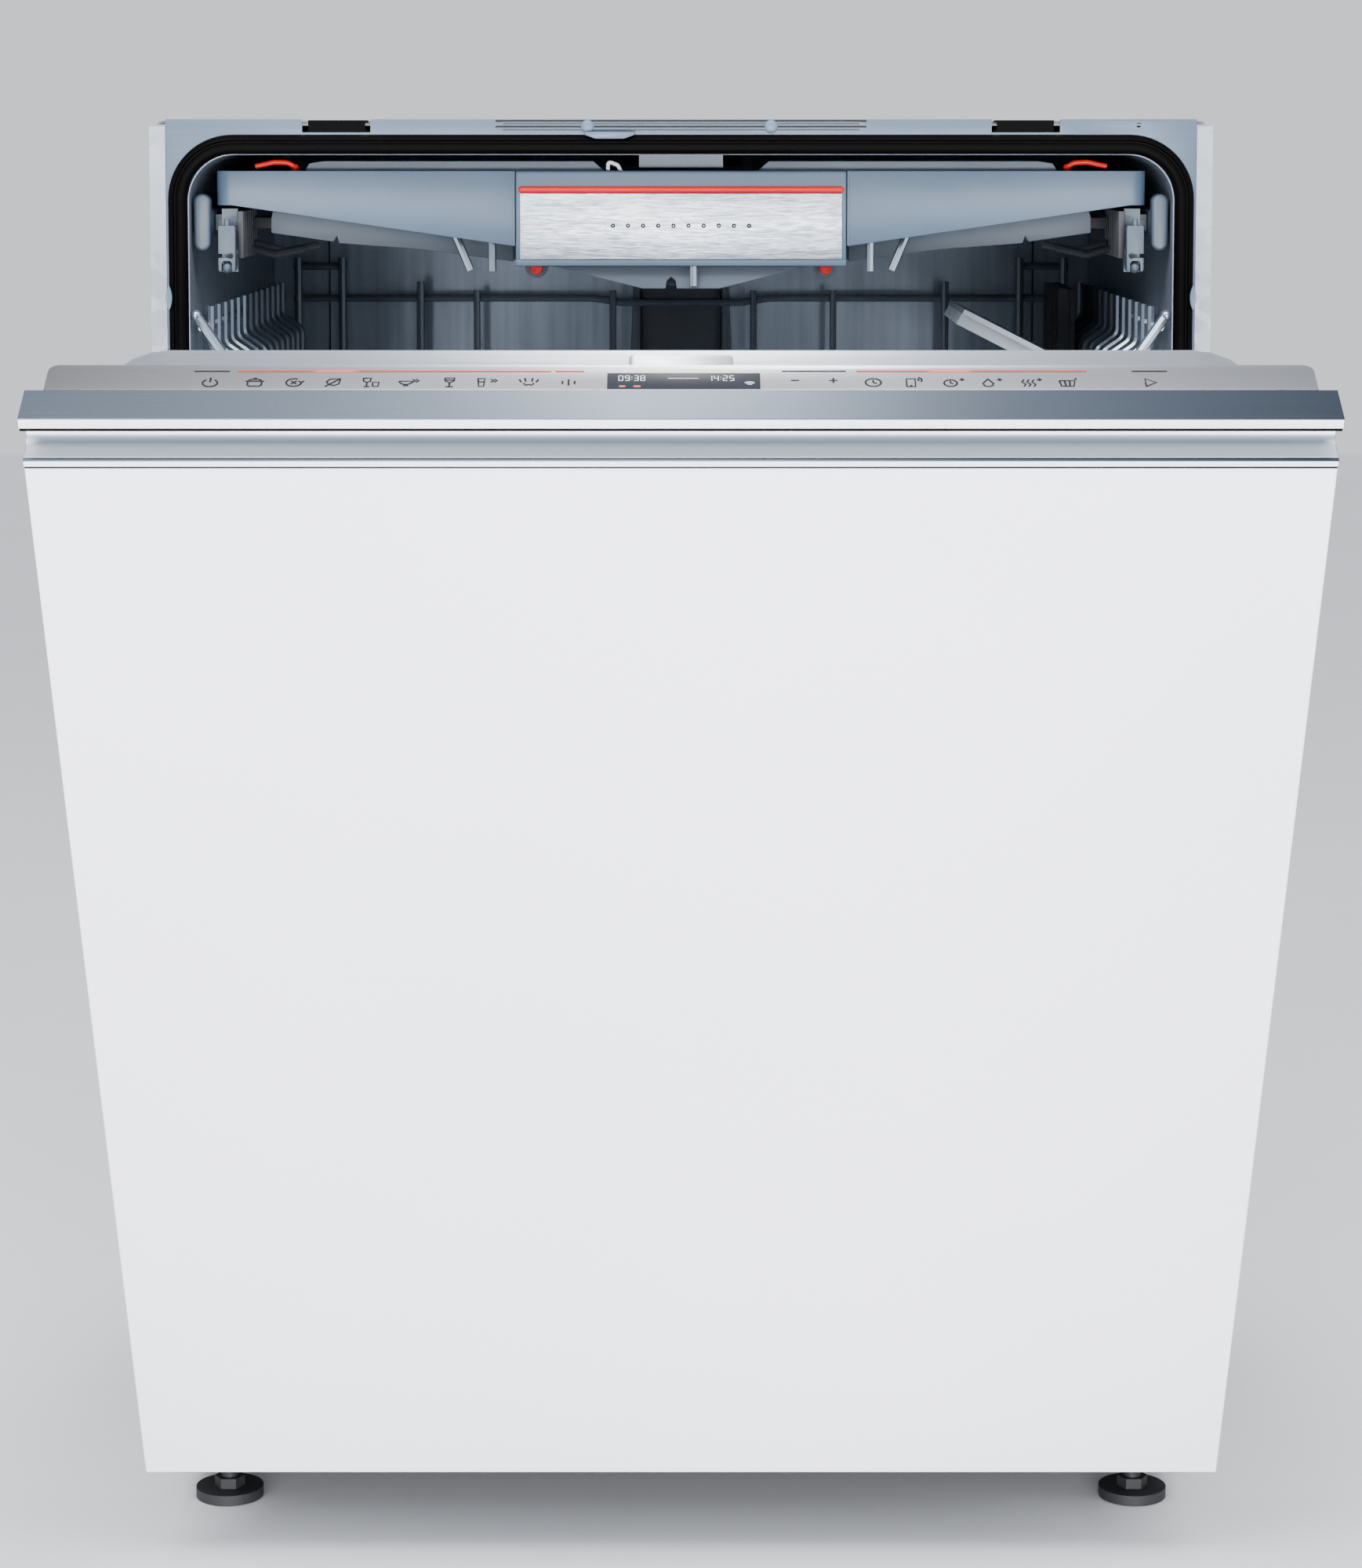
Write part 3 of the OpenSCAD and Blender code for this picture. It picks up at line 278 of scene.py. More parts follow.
def paintedRecessShading(name):  # painted shade and highlight: the finger recess is coloured dark towards its top and bright in a thin line at its bottom, measured up the leaning door
    finish = Finish(name, metallic=0.55)
    spot = finish.place()
    depth = finish.node("SeparateXYZ", {}, {0: spot}, 1)
    height = finish.node("SeparateXYZ", {}, {0: spot}, 2)
    rise = finish.spread(height * 0.866 - depth * 0.5, 0.8995, 0.9158)
    streaks = finish.noise(600.0, (0.015, 1, 1), 4.0, 0.6)
    stops = [(0.0, rgb("f2f5f8")[:3]), (0.08, rgb("8d97a4")[:3]), (0.36, rgb("a3adba")[:3]),
             (0.58, rgb("66717f")[:3]), (0.76, rgb("18212e")[:3])]
    paintedLightTone = finish.node("ValToRGB", {"stops": stops}, {0: rise})
    colour = finish.mix(streaks * 0.12, paintedLightTone, rgb("5b6674"))
    return finish.feed(Base_Color=colour, Roughness=finish.spread(streaks, 0.3, 0.7, 0.30, 0.40))


def meshFinish(name):  # fine round holes in steel sheet
    finish = Finish(name, metallic=1.0, roughness=0.4)
    grid = finish.node("VectorMath", {"operation": "FRACTION"}, {0: finish.place((420, 420, 420))})
    flat = finish.node("VectorMath", {"operation": "MULTIPLY"}, {0: grid, 1: (1, 1, 0)})
    gap = finish.node("VectorMath", {"operation": "DISTANCE"}, {0: flat, 1: (0.5, 0.5, 0)}, "Value")
    hole = finish.spread(gap, 0.28, 0.34)
    colour = finish.mix(hole, rgb("15171a"), rgb("9aa0a8"))
    return finish.feed(Base_Color=colour, Roughness=finish.spread(hole, 0.0, 1.0, 0.8, 0.36),
                       Normal=finish.bump(hole, 0.6, 0.0004))


looks = {name: brushedFinish(name, look) for name, look in brushedLooks.items()}
looks.update({name: plasticFinish(name, look) for name, look in plasticLooks.items()})
looks["recessPaintedShade"] = paintedRecessShading("recessPaintedShade")
looks["platedSteel"] = streakedPlate("platedSteel")
looks["galvanised"] = galvanisedFinish("galvanised")
looks["whiteLacquer"] = lacquerFinish("whiteLacquer")
looks["displayGlass"] = displayFinish("displayGlass")
looks["leftBar"] = glowFinish("leftBar", "8c2f22", "e23a30", -0.1595, 0.009)
looks["rightBar"] = glowFinish("rightBar", "8c2f22", "e23a30", 0.124, 0.009)
looks["paleInk"] = litInk("paleInk", "c9ced6", 0.35)
looks["redInk"] = litInk("redInk", "c02a26", 0.4)
looks["sieve"] = meshFinish("sieve")
print("finishes made,", len(looks))


# modelling helpers, all sizes in millimetres

def clearSelection():
    if bpy.context.mode != "OBJECT":
        bpy.ops.object.mode_set(mode="OBJECT")
    bpy.ops.object.select_all(action="DESELECT")


def pick(*pieces):
    clearSelection()
    for piece in pieces:
        piece.select_set(True)
    bpy.context.view_layer.objects.active = pieces[0]


def applyModifier(piece, kind, **settings):
    pick(piece)
    bpy.ops.object.modifier_add(type=kind)
    modifier = piece.modifiers[-1]
    for name, value in settings.items():
        setattr(modifier, name, value)
    bpy.ops.object.modifier_apply(modifier=modifier.name)
    return piece


def soften(piece, width, segments=3, angle=40):
    return applyModifier(piece, "BEVEL", width=width * 0.001, segments=segments, limit_method="ANGLE",
                         angle_limit=math.radians(angle), harden_normals=False)


def block(name, low, high, bevel=0.0, segments=3):
    clearSelection()
    centre = [(a + b) * 0.0005 for a, b in zip(low, high)]
    bpy.ops.mesh.primitive_cube_add(size=1, location=centre)
    piece = bpy.context.active_object
    piece.name = name
    piece.scale = [(b - a) * 0.001 for a, b in zip(low, high)]
    bpy.ops.object.transform_apply(location=True, rotation=True, scale=True)
    return soften(piece, bevel, segments) if bevel else piece


def meshPiece(name, points, faces):
    mesh = bpy.data.meshes.new(name)
    mesh.from_pydata([Vector(p) * 0.001 for p in points], [], faces)
    piece = bpy.data.objects.new(name, mesh)
    bpy.context.scene.collection.objects.link(piece)
    return piece


def fixNormals(piece):
    pick(piece)
    bpy.ops.object.mode_set(mode="EDIT")
    bpy.ops.mesh.select_all(action="SELECT")
    bpy.ops.mesh.normals_make_consistent(inside=False)
    bpy.ops.object.mode_set(mode="OBJECT")
    return piece


def prism(name, outline, axis, start, end, bevel=0.0, segments=2):  # an outline pushed along one axis
    spots = {"x": lambda p: (start, p[0], p[1]), "y": lambda p: (p[0], start, p[1]),
             "z": lambda p: (p[0], p[1], start)}[axis]
    piece = meshPiece(name, [spots(p) for p in outline], [range(len(outline))])
    pick(piece)
    bpy.ops.object.mode_set(mode="EDIT")
    bpy.ops.mesh.select_all(action="SELECT")
    shift = [0.0, 0.0, 0.0]
    shift["xyz".index(axis)] = (end - start) * 0.001
    bpy.ops.mesh.extrude_region_move(TRANSFORM_OT_translate={"value": shift})
    bpy.ops.mesh.select_all(action="SELECT")
    bpy.ops.mesh.normals_make_consistent(inside=False)
    bpy.ops.object.mode_set(mode="OBJECT")
    return soften(piece, bevel, segments) if bevel else piece


def disc(name, centre, radius, depth, axis="z", bevel=0.0, sides=40):
    clearSelection()
    turn = {"x": (0, math.pi / 2, 0), "y": (math.pi / 2, 0, 0), "z": (0, 0, 0)}[axis]
    bpy.ops.mesh.primitive_cylinder_add(vertices=sides, radius=radius * 0.001, depth=depth * 0.001,
                                        location=Vector(centre) * 0.001, rotation=turn)
    piece = bpy.context.active_object
    piece.name = name
    bpy.ops.object.transform_apply(location=True, rotation=True, scale=True)
    return soften(piece, bevel, 3) if bevel else piece


def ball(name, centre, radius, squash=(1, 1, 1)):
    clearSelection()
    bpy.ops.mesh.primitive_uv_sphere_add(segments=20, ring_count=12, radius=radius * 0.001,
                                         location=Vector(centre) * 0.001)
    piece = bpy.context.active_object
    piece.name = name
    piece.scale = squash
    bpy.ops.object.transform_apply(location=True, rotation=True, scale=True)
    return piece


def arc(centre, radius, first, last, steps):
    return [(centre[0] + radius * math.cos(math.radians(first + (last - first) * k / steps)),
             centre[1] + radius * math.sin(math.radians(first + (last - first) * k / steps))) for k in range(steps + 1)]


def bendPath(path, radius, steps=5):  # rounds the corners of a bent wire
    path = [Vector(p) for p in path]
    smooth = [path[0]]
    for before, corner, after in zip(path, path[1:], path[2:]):
        a, b = before - corner, after - corner
        turn = math.pi - a.angle(b)
        if turn < 0.05:
            smooth.append(corner)
            continue
        back = min(radius * math.tan(turn / 2), a.length * 0.49, b.length * 0.49)
        first, last = corner + a.normalized() * back, corner + b.normalized() * back
        for k in range(steps + 1):
            t = k / steps
            smooth.append(first * (1 - t) ** 2 + corner * (2 * t * (1 - t)) + last * t ** 2)
    return smooth + [path[-1]]


def wireSet(name, paths, radius, bend=6.0, sides=2, caps=True):  # many bent wires as one piece
    curve = bpy.data.curves.new(name, "CURVE")
    curve.dimensions, curve.bevel_depth, curve.bevel_resolution, curve.use_fill_caps = "3D", radius * 0.001, sides, caps
    for path in paths:
        spots = bendPath(path, bend)
        spline = curve.splines.new("POLY")
        spline.points.add(len(spots) - 1)
        for point, spot in zip(spline.points, spots):
            point.co = (*(spot * 0.001), 1.0)
    piece = bpy.data.objects.new(name, curve)
    bpy.context.scene.collection.objects.link(piece)
    pick(piece)
    bpy.ops.object.convert(target="MESH")
    return bpy.context.active_object


# a profile led along a path in the plane of the front; profile holds (sideways, forwards)
def sweepXZ(name, path, profile, depth):
    points, faces, n = [], [], len(profile)
    for k, (x, z) in enumerate(path):
        before, after = path[max(k - 1, 0)], path[min(k + 1, len(path) - 1)]
        tangent = Vector((after[0] - before[0], after[1] - before[1])).normalized()
        for side, forward in profile:
            points.append((x - tangent.y * side, depth - forward, z + tangent.x * side))
    for k in range(len(path) - 1):
        faces += [(k * n + i, k * n + (i + 1) % n, (k + 1) * n + (i + 1) % n,
                   (k + 1) * n + i) for i in range(n)]
    faces += [tuple(range(n)), tuple(range((len(path) - 1) * n, len(path) * n))[::-1]]
    return fixNormals(meshPiece(name, points, faces))


def archPath(half, bottom, top, radius, steps=10):
    return ([(-half, bottom), (-half, (bottom + top) / 2)] + arc((-half + radius, top - radius), radius, 180,
            90, steps)
            + [(0, top)] + arc((half - radius, top - radius), radius, 90, 0,
                               steps) + [(half, (bottom + top) / 2), (half, bottom)])


def roundOutline(low, high, radius, steps=6):
    (x0, z0), (x1, z1) = low, high
    return (arc((x1 - radius, z1 - radius), radius, 0, 90, steps) + arc((x0 + radius, z1 - radius), radius, 90,
            180, steps)
            + arc((x0 + radius, z0 + radius), radius, 180, 270, steps) + arc((x1 - radius, z0 + radius),
                    radius, 270, 360, steps))


def join(name, pieces):
    pick(*pieces)
    if len(pieces) > 1:
        bpy.ops.object.join()
    piece = bpy.context.active_object
    piece.name = name
    return piece


def mirrored(piece):
    return applyModifier(piece, "MIRROR", use_axis=(True, False, False), use_mirror_merge=False)


def cut(piece, *cutters):
    for cutter in cutters:
        applyModifier(piece, "BOOLEAN", operation="DIFFERENCE", object=cutter, solver="EXACT")
        bpy.data.objects.remove(cutter)
    return piece


def finishPiece(piece, body, look, stands=(), onDoor=False, smooth=35):
    if onDoor:
        piece.matrix_world = doorTurn @ piece.matrix_world
    pick(piece)
    bpy.ops.object.transform_apply(location=True, rotation=True, scale=True)
    bpy.ops.object.shade_smooth_by_angle(angle=math.radians(smooth))
    piece.data.materials.clear()
    piece.data.materials.append(looks[look])
    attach(piece, body)
    if stands:
        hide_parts(*stands)
    return piece


# the door: white board, handle, control panel, liner and latch, all drawn closed
front = {"half": 301, "trim": 300.8, "face": -334, "back": -314, "low": 97, "top": 788.7, "edge": 1.2}
board = block("whiteFront", (-front["half"], front["face"], front["low"]),
              (front["half"], front["back"], front["top"]), front["edge"])
finishPiece(board, "door", "whiteLacquer", ("furniture_front",), onDoor=True)

grip = {"lip": -336, "back": -312.5, "top": 817, "recess": (-326, 801.5), "deep": 7.9}
gripOutline = ([(grip["lip"], 816.5), (grip["lip"] + 0.5, 817), (grip["back"], 817), (grip["back"], 815),
                (-314, 815), (-314, 788.9),
                (-334, 788.9), (-334.8, 789.5), (-334.8, 792.8), (-334.2, 793.5), (-333.4, 793.6)]
               + arc(grip["recess"], grip["deep"], 270, 450, 18)
               + [(-332.5, 809.4), (-333.6, 810.2), (-334.4, 811.2), (-335.6, 811.5), (grip["lip"], 812)])
handle = prism("handleRail", gripOutline, "x", -front["half"], front["half"])
finishPiece(handle, "door", "handleMetal", ("handle_profile",), onDoor=True, smooth=30)

recessLine = [(-333.0, 793.75)] + arc(grip["recess"], 7.75, 270, 450, 18) + [(-332.6, 809.25)]
recessBack = [(-332.6, 809.4)] + arc(grip["recess"], 7.95, 450, 270, 18) + [(-333.0, 793.55)]
# the recess skin carries painted shade towards its top and a painted highlight at its bottom
skin = prism("handleRecess", recessLine + recessBack, "x", -front["trim"], front["trim"])
finishPiece(skin, "door", "recessPaintedShade", onDoor=True, smooth=40)
trim = front["trim"]
# painted highlights: pale strips on the handle's upper and lower lips stand for the bright lines there
lipHighlights = [block("lipHighlights", (-trim, -336.12, 811.9), (trim, -335.4, 816.6), 0.1, 2),
           block("lowLipHighlight", (-trim, -334.95, 790), (trim, -334.2, 792.7), 0.1, 2)]
finishPiece(join("handleLipHighlights", lipHighlights), "door", "paintedHighlightPale", onDoor=True)
# painted shadow: black strips under the upper lip and in the gap above the board stand for the shade there
paintedShadowStrips = [block("lipShade", (-trim, -334.9, 809.6), (trim, -332.4, 811), 0.1, 2),
         block("boardShadowStrip", (-300.6, -334.5, 788.5), (300.6, -330, 789.3), 0.1, 2)]
finishPiece(join("handleShadowStrips", paintedShadowStrips), "door", "blackPaint", onDoor=True)

control = {"half": 292.5, "front": -312, "rear": -291.3, "top": 817, "low": 745, "corner": 5}
bend = control["corner"]
plan = ([(-control["half"], control["front"]), (control["half"], control["front"])]
        + arc((control["half"] - bend, control["rear"] - bend), bend, 0, 90,
              6) + arc((bend - control["half"], control["rear"] - bend), bend, 90, 180, 6))
panel = prism("controlPanel", plan, "z", control["low"], control["top"], 0.5)
finishPiece(panel, "door", "panelSteel", ("control_panel",), onDoor=True)

screen = block("displayScreen", (-34, -311.7, 815.2), (36.5, -298.5, 817.15), 0.15, 2)
finishPiece(screen, "door", "displayGlass", ("display_window",), onDoor=True)
print("door board, handle and panel made")


# printed strokes, drawn as flat runs a tenth of a millimetre high
def circle(x, y, radius, first=0, last=360, steps=18):
    return arc((x, y), radius, first, last, steps)


def printed(name, strokes, width, look, level=817.08):
    paths = [[(x, y, level) for x, y in stroke] for stroke in strokes]
    piece = wireSet(name, paths, width / 2, bend=0.0, sides=1)
    piece.data.transform(Matrix.Translation((0, 0, level * 0.001)) @ Matrix.Scale(0.22, 4, (0, 0, 1))
                         @ Matrix.Translation((0, 0, -level * 0.001)))
    return finishPiece(piece, "door", look, onDoor=True)


plus = [[(3.0, 2.6), (5.4, 2.6)], [(4.2, 1.4), (4.2, 3.8)]]
chevrons = [[(1.6, 0.2), (3.0, 1.6), (1.6, 3.0)], [(3.2, 0.2), (4.6, 1.6), (3.2, 3.0)]]
icons = {
    "power": [circle(0, -0.4, 3.4, 125, 415), [(0, 0.4), (0, 4.4)]],
    "pot": [[(-3.2, 1.2), (-3.2, -2.4), (-2.2, -3.4), (2.2, -3.4), (3.2, -2.4), (3.2, 1.2)],
            [(-4.3, 1.2), (4.3, 1.2)],
            [(-3, 2.2), (-1, 3), (1, 3), (3, 2.2)], [(-0.8, 3.9), (0.8, 3.9)]],
    "loop": [circle(0, 0, 3.5, 60, 360), [(3.5, 0), (2.1, 1.3)], [(3.5, 0), (4.6, 1.5)],
             [(-1.2, -1.4), (1.2, 1.4)], [(1.2, -1.4), (-1.2, 1.4)]],
    "leaf": [[(-3.6, -3.8), (-1.6, -1.6), (3.2, 3.4)], [(-1.8, -1.8), (-3.0, 0.6), (-1.6, 3.0), (3.4, 3.6),
                                                        (2.8, -1.2), (0.6, -2.8), (-1.8, -1.8)]],
    "glass": [[(-3.8, 4), (-3.5, 1.2), (-2, 0.1), (-0.5, 1.2), (-0.2, 4), (-3.8, 4)], [(-2, 0.1), (-2, -3.8)],
              [(-3.4, -3.8), (-0.6, -3.8)],
              [(0.8, -3.6), (3.2, -3.6), (3.6, 0.2), (0.6, 0.2), (0.8, -3.6)]],
    "bowl": [circle(-1.4, 1.2, 3.0, 180, 360, 10) + [(-4.4, 1.2)], [(-2.6, -2.9), (-0.2, -2.9)]] + chevrons,
    "stem": [[(-2.2, 4.2), (-2.0, 1.4), (0, -0.2), (2.0, 1.4), (2.2, 4.2), (-2.2, 4.2)],
             [(0, -0.2), (0, -3.9)], [(-1.8, -3.9), (1.8, -3.9)],
             [(-2.0, 2.2), (2.0, 2.2)]],
    "cups": [[(-4.3, 3.6), (-3.8, -3.6), (-1.6, -3.6), (-1.1, 3.6), (-4.3, 3.6)],
             [(-4.1, 0.6), (-1.3, 0.6)]] + chevrons,
    "spray": [circle(0, -3.4, 1.5, 20, 160, 6), [(-3.4, 0.2), (-4.4, 2.8)], [(-1.4, 0.8), (-1.8, 3.9)],
              [(1.4, 0.8), (1.8, 3.9)],
              [(3.4, 0.2), (4.4, 2.8)], [(-1.6, -1.9), (-2.4, -0.8)], [(1.6, -1.9), (2.4, -0.8)]],
    "dots": [[(-2.8, -1.4), (-2.8, 1.4)], [(0, -2.8), (0, 2.8)], [(2.8, -1.4), (2.8, 1.4)]],
    "clock": [circle(0, 0, 3.6), [(0, 2.2), (0, 0), (1.7, -1.0)]],
    "phone": [[(-3.4, -3.8), (0.6, -3.8), (0.6, 3.4), (-3.4, 3.4), (-3.4, -3.8)],
              circle(0.8, 2.2, 1.5, -30, 60, 6), circle(0.8, 2.2, 2.9, -30, 60, 6),
              [(-2.0, -2.8), (-0.8, -2.8)]],
    "quick": [circle(-1.2, -0.6, 3.0), [(-1.2, 1.2), (-1.2, -0.6), (0.2, -1.2)]] + plus,
    "drop": [[(-1.2, 3.2), (-3.6, -0.8), (-3.0, -3.0), (-1.2, -3.8), (0.6, -3.0), (1.2, -0.8),
              (-1.2, 3.2)]] + plus,
    "steam": [[(x, -3.6), (x + 0.9, -1.6), (x - 0.7, 0.4), (x + 0.2, 2.6)] for x in (-3.2, -0.9, 1.4)] + plus,
    "basket": [[(-4, 1.6), (-3.2, -3.4), (2.4, -3.4), (3.2, 1.6), (-4, 1.6)], [(-1.6, 1.6), (-1.2, -3.4)],
               [(0.8, 1.6), (0.6, -3.4)],
               [(3.6, 3.8), (3.6, 2.6)], [(3.0, 3.2), (4.2, 3.2)]],
}
iconSpots = {"power": -216.5, "pot": -196, "loop": -178, "leaf": -160, "glass": -142.4, "bowl": -125.1,
             "stem": -106.4, "cups": -89.1,
             "spray": -70, "dots": -51.7, "clock": 88.4, "phone": 107.1, "quick": 125.1, "drop": 142.4,
             "steam": 160.7, "basket": 178}
iconRow, ruleRow = -306.2, -296.9
inked = [[(x + spot, y * 0.9 + iconRow) for x, y in stroke]
         for name, spot in iconSpots.items() for stroke in icons[name]]
inked += [[(213.6, -309.4), (213.6, -303), (218.6, -306.2), (213.6, -309.4)]]
inked += [[(50.6, -304.5), (54.4, -304.5)], [(68.2, -304.5), (72, -304.5)], [(70.1, -306.4), (70.1, -302.6)]]
printed("panelIcons", inked, 0.95, "inkGrey")
rules = [[(-224.6, ruleRow), (-208.3, ruleRow)], [(46.5, ruleRow), (76.2, ruleRow)],
         [(208, ruleRow), (224.3, ruleRow)]]
printed("panelRules", rules, 0.9, "inkGrey")
for name, look, runs in (("leftBars", "leftBar", ((-204.7, -59.9), (-58.1, -44.7))),
                         ("rightBars", "rightBar", ((80.9, 187.3),))):
    printed(name, [[(a, ruleRow), (b, ruleRow)] for a, b in runs], 1.1, look, 817.1)

segments = {"a": [(0, 2), (1, 2)], "b": [(1, 2), (1, 1)], "c": [(1, 1), (1, 0)], "d": [(0, 0), (1, 0)],
            "e": [(0, 0), (0, 1)],
            "f": [(0, 1), (0, 2)], "g": [(0, 1), (1, 1)]}
digitParts = {"0": "abcdef", "1": "bc", "2": "abged", "3": "abgcd", "4": "fgbc", "5": "afgcd", "8": "abcdefg",
              "9": "abcdfg"}


def digits(text, x, y, size):
    strokes = []
    for sign in text:
        if sign == ":":
            strokes += [[(x, y + size * 0.45), (x, y + size * 0.65)],
                        [(x, y + size * 1.3), (x, y + size * 1.5)]]
            x += size * 0.55
            continue
        for part in digitParts[sign]:
            strokes.append([(x + u * size * 0.9, y + v * size) for u, v in segments[part]])
        x += size * 1.5
    return strokes


shown = digits("09:38", -28.6, -304.9, 2.0) + digits("14:25", 12.4, -304.9, 2.0)
shown += [[(-6, -303), (8, -303)], circle(31.6, -309, 1.2, 45, 135, 5), circle(31.6, -309, 2.2, 45, 135, 5),
          circle(31.6, -309, 3.2, 45, 135, 5)]
printed("screenDigits", shown, 0.42, "paleInk", 817.22)
printed("screenMarks", [[(-28.4, -309.6), (-25.6, -309.6)], [(-21.8, -309.6), (-18.6, -309.6)]], 1.2, "redInk",
        817.22)
print("panel printed")

liner = prism("doorLiner", roundOutline((-280, 137), (280, 799), 38), "y", -289, -247, 7, 5)
cut(liner, prism("linerInside", roundOutline((-278.4, 138.6), (278.4, 797.4), 36.4), "y", -300, -248.6, 5.8, 4),
    block("dispenserHole", (-92.5, -260, 407), (92.5, -240, 539)))
finishPiece(liner, "door", "linerSteel", ("inner_liner",), onDoor=True)

catchPlate = prism("latchPlate", roundOutline((-24.5, -288.5), (24.5, -257), 3), "z", 799.1, 799.9, 0.3)
finishPiece(catchPlate, "door", "linerSteel", ("door_latch",), onDoor=True)
catchRun = [(-20, -288), (-16, -274), (16, -274), (20, -288)]
# painted shade: a black line stands for the shade in the latch plate's groove
latchShadeLine = wireSet("latchGrooveShade", [[(x, y, 799.7) for x, y in catchRun]], 0.9, bend=6)
paleRim = wireSet("latchRim", [[(x * 0.92, y - 2.2, 799.9) for x, y in catchRun]], 0.8, bend=6)
finishPiece(latchShadeLine, "door", "blackPaint", onDoor=True)
finishPiece(paleRim, "door", "zincMetal", onDoor=True)
print("liner and latch made")


# the cabinet's face: frame, gasket, rim with a painted highlight, groove with painted shade, plugs, caps, rails
face = {"half": 289.5, "front": -240, "rear": -238.5, "low": 141, "top": 817, "mouth": (277.4, 150, 798, 27)}
frameSheet = block("frontFrame", (-face["half"], face["front"], face["low"]),
                   (face["half"], face["rear"], face["top"]), 0.35, 2)
mouthHalf, mouthLow, mouthTop, mouthBend = face["mouth"]
notches = [block("notch", (x - 19.2, -242, 809.6), (x + 19.2, -237, 819)) for x in (-193.5, 193.5)]
cut(frameSheet, prism("mouth", roundOutline((-mouthHalf, mouthLow), (mouthHalf, mouthTop), mouthBend, 12), "y",
                      -243, -236), disc("frameHole", (256.9, -239, 813.8), 1.5, 8, "y"), *notches)
frameFlange = block("frameFlange", (-face["half"], face["rear"], 807.8), (face["half"], -210, 809), 0.3, 2)
finishPiece(join("frameSheet", [frameSheet, frameFlange]), "cabinet", "frameSteel",
            ("front_frame",))
tab = prism("frameTab", [(-54, 808.2), (-54, 810), (-26, 810), (-26, 808.2), (-31.9, 806.1), (-48, 806.1)],
            "y", -247, -240.2, 0.4)
finishPiece(tab, "cabinet", "frameSteel")
gasketProfile = [(-5.6, 0), (-5.6, 2.2), (-5.0, 4.4), (-3.4, 5.8), (-1.2, 6.0), (0.2, 5.0), (0.8, 4.2),
                 (1.6, 4.2), (2.4, 5.2), (3.8, 4.8),
                 (5.0, 3.0), (5.3, 1.2), (5.3, 0)]
gasket = sweepXZ("doorGasket", archPath(282.9, 149, 803, 31, 14), gasketProfile, -240.05)
finishPiece(gasket, "cabinet", "gasketRubber", ("door_gasket",), smooth=50)
# painted highlight: a thin grey line along the gasket's inner edge
rimPath = [(x, -240.6, z) for x, z in archPath(276.9, 160, 797.5, 26.5, 12)]
finishPiece(wireSet("mouthRimHighlight", [rimPath], 0.5, bend=0, sides=1), "cabinet", "shadedWireAndRimHighlight")

# painted shade: a dark grey plate and two dark lines over the frame's bead stand for the shade in its channel under the
# worktop; the pale beads are the frame's own colour
shadePlateOutline = [(-106, 813.2), (-98, 816.6), (98, 816.6), (106, 813.2), (98, 809.6), (-98, 809.6)]
finishPiece(prism("frameShadePlate", shadePlateOutline, "y", -240.16, -240.02), "cabinet", "paintedShadeGrey")
dark = [[(-104, -240.2, z), (104, -240.2, z)] for z in (812.9, 816.2)]
light = [[(-100, -240.3, z), (100, -240.3, z)] for z in (811.3, 814.8)]
finishPiece(wireSet("frameShadowLines", dark, 0.6, bend=3, sides=1), "cabinet", "shadowGap")
finishPiece(wireSet("frameBead", light, 0.6, bend=3, sides=1), "cabinet", "frameSteel")
plugs = [ball("framePlug", (x, -240.4, 813), 3.85, (1, 0.35, 1)) for x in (-52.5, 50.5)]
finishPiece(join("framePlugs", plugs), "cabinet", "drawerPlastic")

capOutline = arc((-13.4 + 287.6, 717), 15.1, -27, 27, 10) + arc((287.6 + 13.4, 717), 15.1, 153, 207, 10)
cap = mirrored(prism("sideCap", capOutline, "y", -247.2, -239.9, 0.7, 3))
finishPiece(cap, "cabinet", "drawerPlastic", ("fixing_caps",), smooth=50)

railParts = [block("railBar", (266.6, -216, 751.8), (277.1, 187, 765.8), 1.5),
             block("railLip", (266.9, -214, 750.2), (270.2, 186, 752.4), 0.6),
             block("lowRail", (272, -220, 605), (277.1, 185, 623), 1.2)]
railCap = prism("railCap", roundOutline((266.6, 742.8), (275.9, 774.8), 4.5, 10), "y", -226.2, -215, 1.8, 4)
rails = mirrored(join("sideRails", railParts + [railCap]))
finishPiece(rails, "cabinet", "railPlastic", ("tub_rails",), smooth=50)
clips = wireSet("tubClips",
                [[(243, -206, 790.2), (232, -204, 792.6), (224, -203, 792.2),
                  (220.6, -202, 789.6)]], 1.5, bend=8)
clips = join("ceilingClips", [clips, ball("clipTip", (220.4, -202, 789.4), 2.2)])
finishPiece(mirrored(clips), "cabinet", "redPlastic", smooth=60)
rim = [[(239.5 * side, 213.9, 176), (239.5 * side, 213.9, 780)] for side in (-1, 1)]
finishPiece(wireSet("tubSeams", rim, 0.5, bend=0, sides=1), "cabinet", "shadowGap")

ductPlan = [(-27, 214.4), (27, 214.4)] + [(27, 208), (26, 203.5), (22, 201.3), (-22, 201.3), (-26, 203.5),
                                          (-27, 208)]
duct = prism("backDuct", ductPlan, "z", 156, 706, 1.0)
duct = cut(duct, disc("feedMouth", (0, 203, 555.6), 12.4, 16, "y"))
collar = cut(disc("feedCollar", (0, 199, 555.6), 12, 9, "y", 0.8), disc("feedBore", (0, 199, 555.6), 7.4, 20,
             "y"))
ribs = [block("ductRib", (x - 0.8, 200.7, 170), (x + 0.8, 201.6, 530), 0.3) for x in (-14, 0, 14)]
finishPiece(join("waterDuct", [duct, collar] + ribs), "cabinet", "ductPlastic", ("rear_duct",))
shoulder = mirrored(prism("ductShoulder", [(27.4, 706), (32, 706), (33, 690), (38, 560), (40, 170),
                                           (27.4, 170)], "y", 207, 214.4, 1.2))
finishPiece(shoulder, "cabinet", "trayPlastic")
